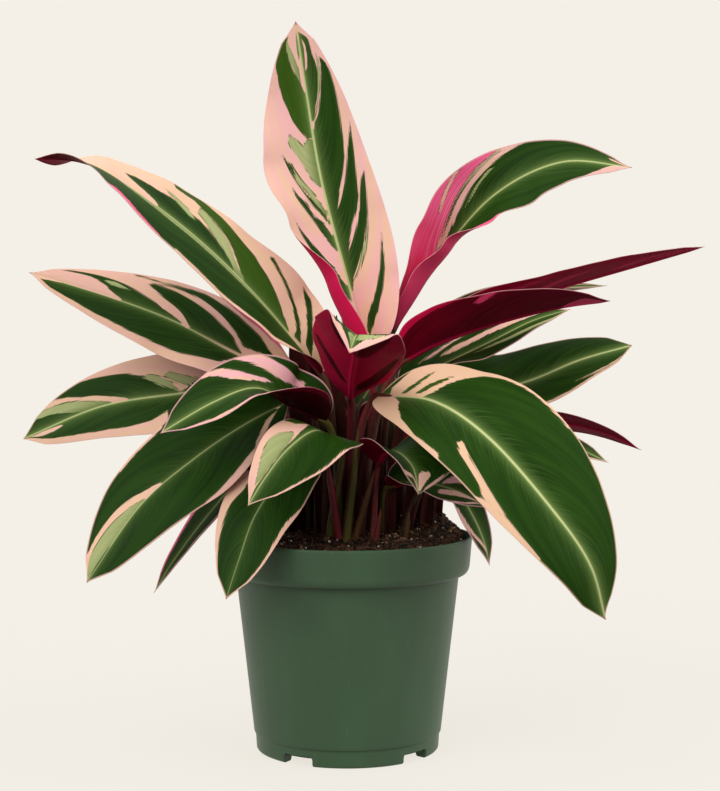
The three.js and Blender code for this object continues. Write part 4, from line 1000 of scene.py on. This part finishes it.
def tube(path, radius, sides, guide):
    """Rings round a path and its two end points. Guide is a direction that the path never takes."""
    along = unit(np.gradient(path, axis=0))
    side = unit(guide - (along @ guide)[:, None] * along)
    angle = np.linspace(0, 2 * np.pi, sides, endpoint=False)
    ring = np.cos(angle)[:, None] * side[:, None] + np.sin(angle)[:, None] * np.cross(along, side)[:, None]
    rings = path[:, None] + radius[:, None, None] * ring
    return np.vstack([rings.reshape(-1, 3), path[:1], path[-1:]]), *skin_faces(len(path), sides)


def stalk(leaf):
    """The tube of one leaf, and for each of its points the way along it in mm."""
    x, y = leaf["foot"]
    root = np.array([x, y, soil_height(x, y) - ROOT_DEPTH])
    (base,), (swing,), length = midrib(leaf["rib"], np.zeros(1))
    span = np.linalg.norm(base - root)
    rise = root + np.array([STALK_LEAN, STALK_LEAN, 0]) * (base - root) + [0, 0, STALK_RISE * span]
    bend = base - swing * leaf["neck"] * span
    u = np.linspace(0, 1, STALK_STEPS + 1)[:, None]
    curve = (1 - u) ** 3 * root + 3 * (1 - u) ** 2 * u * rise + 3 * (1 - u) * u ** 2 * bend + u ** 3 * base
    under = np.array([2.0, 4.0, 6.0, 8.5, 11.0])
    path = np.vstack([curve, midrib(leaf["rib"], under / length)[0]])
    radius = np.concatenate([leaf["stalk"] * np.interp(u[:, 0], STALK_WAY, STALK_RADIUS),
                             np.interp(under, RIB_WAY, RIB_RADIUS)])
    guide = unit(np.cross(base - root + 60 * swing, [0, 0, 1]))
    points, quads, fans = tube(path, radius, STALK_SIDES, guide)
    way = np.concatenate([np.repeat(np.arange(len(path)) * span / STALK_STEPS, STALK_SIDES), [0, span]])
    return points, quads, fans, way


# %% [markdown]
# ## One mesh for each leaf
# The blade's two sides are grids with rows closer together at its ends and columns closer together at the
# midrib. A strip round the margin closes them. Every point keeps its numbers for the finish.

# %% Leaves as closed meshes
ROW_STEP, COLUMN_STEP = 1.6, 1.3


def blade_faces(rows, columns):
    """Quads of the upper grid, of the lower grid behind it, and of the strip between their margins."""
    grid = np.arange(rows * columns).reshape(rows, columns)
    a, b, c, d = grid[:-1, :-1], grid[1:, :-1], grid[1:, 1:], grid[:-1, 1:]
    top = np.stack([a, d, c, b], -1).reshape(-1, 4)
    loop = np.concatenate([grid[:, 0], grid[-1, 1:], grid[-2::-1, -1], grid[0, -2:0:-1]])
    after = np.roll(loop, -1)
    strip = np.stack([loop, after, after + grid.size, loop + grid.size], 1)
    return top, top[:, ::-1] + grid.size, strip


def leaf_mesh(leaf, number):
    """Blade and stalk in one mesh: finish 0 above, 1 below and 2 on the stalk."""
    length = midrib(leaf["rib"], np.zeros(1))[2]
    x = np.linspace(0, 1, int(length / ROW_STEP) + 1)
    s = 0.6 * x + 0.4 * (0.5 - 0.5 * np.cos(np.pi * x))
    r = np.linspace(0, 1, int(max(leaf["half"]) / COLUMN_STEP) + 1) ** 1.25
    t = np.concatenate([-r[:0:-1], r])
    upper, lower, numbers = blade(leaf, s, t, number)
    top, bottom, strip = blade_faces(len(s), len(t))
    stem_points, stem_quads, stem_fans, way = stalk(leaf)
    first = 2 * upper[..., 0].size
    points = np.vstack([upper.reshape(-1, 3), lower.reshape(-1, 3), stem_points])
    mesh = new_mesh(f"{leaf['name']}_fine", points, np.vstack([top, bottom, strip, stem_quads + first]),
                    stem_fans + first)
    stem_vein = np.stack([way + LEAF_SHIFT * number, 0 * way, 0 * way], 1)
    for key, values in numbers.items():
        flat = values.reshape(-1, 3) if key == "vein" else values.ravel()
        rest = stem_vein if key == "vein" else 0 * way
        store(mesh, key, np.concatenate([flat, flat, rest]))
    stem = leaf["stem"] if leaf["stem"] is not None else (number * 0.37) % 0.7
    for key, value in (("glow", leaf["glow"]), ("shine", leaf["shine"]), ("stem", stem)):
        store(mesh, key, np.full(len(points), value))
    counts = (len(top), len(bottom), len(strip), len(stem_quads) + len(stem_fans))
    return mesh, np.repeat([0, 1, 0, 2], counts)

# %% [markdown]
# ## Leaf finishes
# Variegation is ragged: a patch ends in fine streaks along the side veins. So noise that is short across
# the veins and long along them is added to each patch depth before it is cut into a mask. The same noise
# mottles the green, and a fine ripple along the veins gives the blade its ribbed sheen.

# %% Upper side
DEEP_GREEN, LEAF_GREEN, HAZE_GREEN = (0.0045, 0.020, 0.0015), (0.017, 0.058, 0.003), (0.085, 0.145, 0.034)
BRIGHT_GREEN, PALE_GREEN = (0.038, 0.090, 0.004), (0.46, 0.49, 0.22)
CREAM, PINK, ROSE = (0.74, 0.49, 0.30), (0.80, 0.40, 0.45), (0.82, 0.06, 0.23)
RIB_GREEN, HALO_GREEN, TIP_BROWN = (0.50, 0.54, 0.25), (0.16, 0.24, 0.06), (0.22, 0.06, 0.035)

upper = Finish("leaf_upper_side")
vein = upper.spot("vein")
along = upper.node("ShaderNodeSeparateXYZ", {}, vein, out="X")
foot_to_tip = upper.node("ShaderNodeSeparateXYZ", {}, vein, out="Z")
streak = upper.noise(vein, (0.55, 0.035, 0.0), 3.0)
grain = upper.noise(vein, (1.7, 0.05, 0.0), 1.0)
cloud = upper.noise(vein, (0.05, 0.05, 0.0), 2.0)
across, shine = upper.number("across"), upper.number("shine")
ragged = ((streak - 0.5) * 4.0 + (grain - 0.5) * 1.6) * across.step(0.5, 7.0)
masks = {kind: (upper.number(kind) + ragged).step(-0.3, 0.3) for kind in KINDS}
near_cream = (upper.number("cream") + ragged * 1.5).step(-2.6, 0.0)

mottle = cloud.step(0.3, 0.7) * 0.45 + streak.step(0.35, 0.7) * 0.25 + shine * 0.3
colour = upper.blend(mottle, DEEP_GREEN, LEAF_GREEN)
side_veins = grain.step(0.52, 0.76) * (across.step(20.0, 1.0) * shine * 0.55 + 0.15)
colour = upper.blend(side_veins, colour, HAZE_GREEN)
colour = upper.blend(near_cream * 0.13, colour, HAZE_GREEN)
colour = upper.blend(masks["bright"] * (streak * 0.5 + 0.5), colour, BRIGHT_GREEN)
pale = upper.blend(grain.step(0.25, 0.8) * 0.45 + near_cream * 0.1, PALE_GREEN, HAZE_GREEN)
colour = upper.blend(masks["pale"] * 0.92, colour, pale)
# Painted sheen: a band of haze green beside the midrib, widest near the rib and stronger with shine, stands
# in for the satin sheen of light along it.
painted_rib_sheen = across.step(11.0, 0.5)
colour = upper.blend(painted_rib_sheen * painted_rib_sheen * shine * (streak * 0.8 + 0.4), colour, HAZE_GREEN)
colour = upper.blend(across.step(3.2, 0.3) * shine * 0.8, colour, HALO_GREEN)
flush = upper.number("blush") * (cloud.step(0.38, 0.62) * 0.7 + 0.3)
light = upper.blend(flush, CREAM, PINK)
light = upper.blend(grain.step(0.62, 0.8) * 0.12, light, PALE_GREEN)
colour = upper.blend(masks["cream"], colour, light)
colour = upper.blend(masks["rose"], colour, upper.blend(streak.step(0.4, 0.8) * 0.75, ROSE, PINK))
rib_half = 0.55 + shine * 0.5 - foot_to_tip * 0.4
rib_line = (across - rib_half).step(0.35, -0.35)
rib_colour = upper.blend(masks["cream"] * 0.7, RIB_GREEN, light)
colour = upper.blend(rib_line * (shine * 0.7 + 0.25), colour, rib_colour)
edge = upper.number("margin").step(1.3, 0.3)
colour = upper.blend(edge * 0.75, colour, upper.blend(upper.number("blush"), CREAM, PINK))
colour = upper.blend(foot_to_tip.step(0.985, 1.0) * 0.8, colour, TIP_BROWN)
ripple = (along * 2.1).math("SINE", along * 2.1)
relief = ripple * 0.1 + streak * 0.5 + grain * 0.3
upper_finish = upper.close(colour, 0.40 + grain * 0.12, relief, strength=0.3, depth=0.0004,
                           Specular_IOR_Level=0.05)

# %% Underside
DARK_MAROON, CRIMSON = (0.028, 0.0006, 0.0022), (0.43, 0.002, 0.040)
MAGENTA, HOT_PINK = (0.74, 0.016, 0.11), (0.85, 0.11, 0.24)
under = Finish("leaf_underside")
vein = under.spot("vein")
along = under.node("ShaderNodeSeparateXYZ", {}, vein, out="X")
streak = under.noise(vein, (0.5, 0.03, 0.0), 3.0)
grain = under.noise(vein, (2.4, 0.12, 0.0), 2.0)
cloud = under.noise(vein, (0.04, 0.04, 0.0), 2.0)
glow = under.number("glow")
red = glow + (cloud - 0.5) * 0.35 + (streak - 0.5) * 0.45 + (grain - 0.5) * 0.15
colour = under.blend(red, DARK_MAROON, CRIMSON)
light_part = (under.number("cream") + (streak - 0.5) * 3.0).step(-0.7, 0.7)
colour = under.blend(light_part * glow.step(-0.3, 0.1), colour,
                     under.blend(glow + (streak - 0.5) * 0.5, CRIMSON, MAGENTA))
rose_part = (under.number("rose") + (streak - 0.5) * 3.0).step(-0.5, 0.5)
colour = under.blend(rose_part, colour, under.blend(grain * 0.8, MAGENTA, HOT_PINK))
rib_line = under.number("across").step(1.7, 0.9)
colour = under.blend(rib_line * (glow * 0.5 + 0.15), colour, MAGENTA)
colour = under.blend(under.number("margin").step(0.9, 0.2) * 0.5, colour, HOT_PINK)
ripple = (along * 2.1).math("SINE", along * 2.1)
relief = ripple * 0.15 + streak * 0.5 + grain * 0.3
under_finish = under.close(colour, 0.42 + grain * 0.14, relief, strength=0.3, depth=0.0004,
                           Specular_IOR_Level=0.03)

# %% Stalks, and the dried sheaths between them
OLIVE, STALK_RED, STALK_BROWN = (0.085, 0.075, 0.012), (0.17, 0.012, 0.022), (0.075, 0.026, 0.010)
IN_SHADE, SHEATH_BROWN, SHEATH_RED = (0.008, 0.003, 0.001), (0.040, 0.014, 0.005), (0.060, 0.004, 0.008)
stalks = Finish("leaf_stalk")
body = stalks.spot()
fibre = stalks.noise(body, (1400.0, 1400.0, 60.0), 3.0)
patch = stalks.noise(body, (60.0, 60.0, 25.0), 2.0)
redness = stalks.number("stem") + (patch - 0.5) * 0.7
colour = stalks.blend(redness.step(0.0, 0.45), OLIVE, STALK_BROWN)
colour = stalks.blend(redness.step(0.45, 0.95), colour, STALK_RED)
colour = stalks.blend(fibre.step(0.5, 0.8) * 0.35, colour, (0.26, 0.12, 0.07))
# Painted shade: stalks further back than the front of the clump and lower down towards the soil are darkened
# towards IN_SHADE, where the crown keeps the light out.
shade_behind_front = stalks.node("ShaderNodeSeparateXYZ", {}, body, out="Y").step(-0.030, 0.012)
shade_near_soil = stalks.node("ShaderNodeSeparateXYZ", {}, body, out="Z").step(0.235, 0.190)
colour = stalks.blend(shade_behind_front * shade_near_soil * 0.85, colour, IN_SHADE)
stalk_finish = stalks.close(colour, 0.42 + fibre * 0.15, fibre, strength=0.4, depth=0.0004,
                             Specular_IOR_Level=0.15)

sheath = Finish("dry_sheath")
vein = sheath.spot("vein")
fibre = sheath.noise(vein, (0.06, 1.5, 0.0), 3.0)
patch = sheath.noise(vein, (0.08, 0.2, 0.0), 2.0)
# Painted shade as well as dry leaf: the sheaths stand in the shaded middle of the crown, so their browns are
# kept dark and their streaks run to IN_SHADE, the painted shade of the stalks.
colour = sheath.blend(patch.step(0.4, 0.6), SHEATH_BROWN, SHEATH_RED)
colour = sheath.blend(fibre.step(0.45, 0.75) * 0.7, colour, IN_SHADE)
sheath_finish = sheath.close(colour, 0.7, fibre, strength=0.5, depth=0.0005, Specular_IOR_Level=0.1)

# %% Grow the leaves
RED_LEAVES = ("leaf_front_red", "leaf_red_right", "leaf_far_right", "leaf_thin_right")
leaf_finishes = [upper_finish, under_finish, stalk_finish]
faces = 0
for number, kind in enumerate(LEAVES):
    mesh, which = leaf_mesh(kind, number)
    slot = "leaf_red" if kind["name"] in RED_LEAVES else "leaf_variegated"
    add_piece(mesh, leaf_finishes, kind["name"], sharp_degrees=60.0, which=which)
    faces += len(mesh.polygons)
print("leaves have", faces, "faces")

# %% [markdown]
# ## Sheaths, young leaves and root hairs
# The stalks leave the soil between the dried sheaths of older leaves. The sheaths are narrow blades of the
# same make as the leaves, stood upright and gathered in one mesh; they are coloured dark, dry leaf darkened
# further as painted shade of the crown's middle. A few young leaves are still rolled up like spears, and
# hair-thin roots lie on the soil.

# %% Sheaths
# Each one: where it stands, how high it is, how far its tip leans over, and its half width.
SHEATHS = [
    (-26, 10, 150, (-8, -4), 13), (-17, 14, 124, (-6, 0), 11), (-8, 8, 142, (1, -6), 10),
    (-33, 8, 66, (-8, 0), 6), (-2, -16, 70, (-4, -2), 5), (16, -2, 92, (4, -4), 6),
    (27, -14, 58, (1, -3), 5), (29, 4, 84, (6, -2), 7), (38, -6, 52, (5, 0), 5),
    (42, 12, 66, (7, 0), 7), (50, 4, 46, (6, -1), 6), (56, 18, 40, (6, 0), 6),
    (8, -20, 64, (3, -3), 4), (-16, -12, 60, (-5, -2), 5), (48, 24, 58, (8, 2), 7),
    (12, 36, 80, (0, 6), 8), (-22, 30, 74, (-6, 6), 8), (36, 34, 70, (8, 6), 8),
]
PATCHES["sheath"] = ("green", 0.0, [])


def sheath_blade(x, y, height, lean, half, number):
    """Upper and lower points of one sheath, and its numbers."""
    low = soil_height(x, y) - 6
    rib = [(x + share * lean[0], y + share * lean[1], low + way * height)
           for way, share in ((0, 0), (0.45, 0.25), (1, 1))]
    shape = leaf("sheath", rib, [(0, -1, 0)], (half, half), [60, 40, 20], [60, 40, 20], (0.05, 0.05),
                 (0.55, 0.55), (x, y))
    return blade(shape, np.linspace(0, 1, 40), np.linspace(-1, 1, 11), number)


made = [sheath_blade(*sheath, number) for number, sheath in enumerate(SHEATHS)]
grid = made[0][0][..., 0].shape
per_sheath = 2 * grid[0] * grid[1]
sheath_points = np.concatenate([np.concatenate([side.reshape(-1, 3) for side in one[:2]]) for one in made])
sheath_faces = np.concatenate(blade_faces(*grid))
sheath_quads = [sheath_faces + per_sheath * number for number in range(len(made))]
sheath_mesh = new_mesh("dry_sheaths", sheath_points, np.concatenate(sheath_quads))
both = [np.tile(one[2]["vein"].reshape(-1, 3), (2, 1)) for one in made]
store(sheath_mesh, "vein", np.concatenate(both))
add_piece(sheath_mesh, [sheath_finish], sharp_degrees=60.0)
print("sheaths:", len(made))

# %% Young leaves, still rolled
# Each one: its foot, the point it leans to, its radius and how red it is.
SPEARS = [
    ((-4, -30, 132), (-13, -38, 192), 2.8, 0.95), ((-1, -33, 132), (7, -36, 206), 2.7, 0.02),
    ((3, -32, 132), (17, -38, 182), 2.4, 0.35), ((17, -34, 132), (21, -36, 158), 1.9, 0.85),
    ((36, -22, 132), (39, -23, 154), 2.0, 0.3),
]
for number, (foot, lean_to, radius, redness) in enumerate(SPEARS):
    way = np.linspace(0, 1, 24)
    foot, lean_to = np.array(foot, float), np.array(lean_to, float)
    sag = np.array([0.0, 1.0, 0.0]) * (4 * way * (1 - way))[:, None]
    path = foot + (lean_to - foot) * way[:, None] + sag
    girth = radius * np.interp(way, [0, 0.1, 0.7, 1], [1.25, 1, 0.75, 0.12])
    spear_mesh = new_mesh(f"young_leaf_{number}", *tube(path, girth, 12, np.array([1.0, 0.0, 0.0])))
    store(spear_mesh, "stem", np.full(len(spear_mesh.vertices), redness))
    add_piece(spear_mesh, [stalk_finish])

# %% Root hairs on the soil
HAIRS, HAIR_POINTS = 46, 12
HAIR_FROM_REACH, HAIR_REACH, HAIR_RADIUS = 66, 72, 0.22
HAIR_SEED = 5
chance = np.random.default_rng(HAIR_SEED)
hair_points, hair_quads, hair_fans, before = [], [], [], 0
for number in range(HAIRS):
    reach = HAIR_FROM_REACH * math.sqrt(chance.uniform(0, 1))
    angle = chance.uniform(0, 2 * math.pi)
    heading, turning = chance.uniform(0, 2 * math.pi), chance.uniform(-0.9, 0.9)
    steps = np.cumsum(np.full(HAIR_POINTS, chance.uniform(0.9, 2.6)))
    course = heading + turning * steps / steps[-1]
    x = reach * math.cos(angle) + np.cumsum(np.cos(course)) * steps[0]
    y = reach * math.sin(angle) + np.cumsum(np.sin(course)) * steps[0]
    inward = np.minimum(1, HAIR_REACH / np.hypot(x, y))
    x, y = x * inward, y * inward
    arch = 1.2 + 1.6 * np.sin(np.linspace(0, 3, HAIR_POINTS))
    path = np.stack([x, y, lumpy_height(x, y) + arch], 1)
    points, quads, fans = tube(path, np.full(HAIR_POINTS, HAIR_RADIUS), 5, np.array([0.0, 0.0, 1.0]))
    hair_points.append(points)
    hair_quads.append(quads + before)
    hair_fans.append(fans + before)
    before += len(points)
hair_mesh = new_mesh("root_hairs", *(np.concatenate(part) for part in (hair_points, hair_quads, hair_fans)))
add_piece(hair_mesh, [bark_finish])
print("root hairs:", HAIRS)
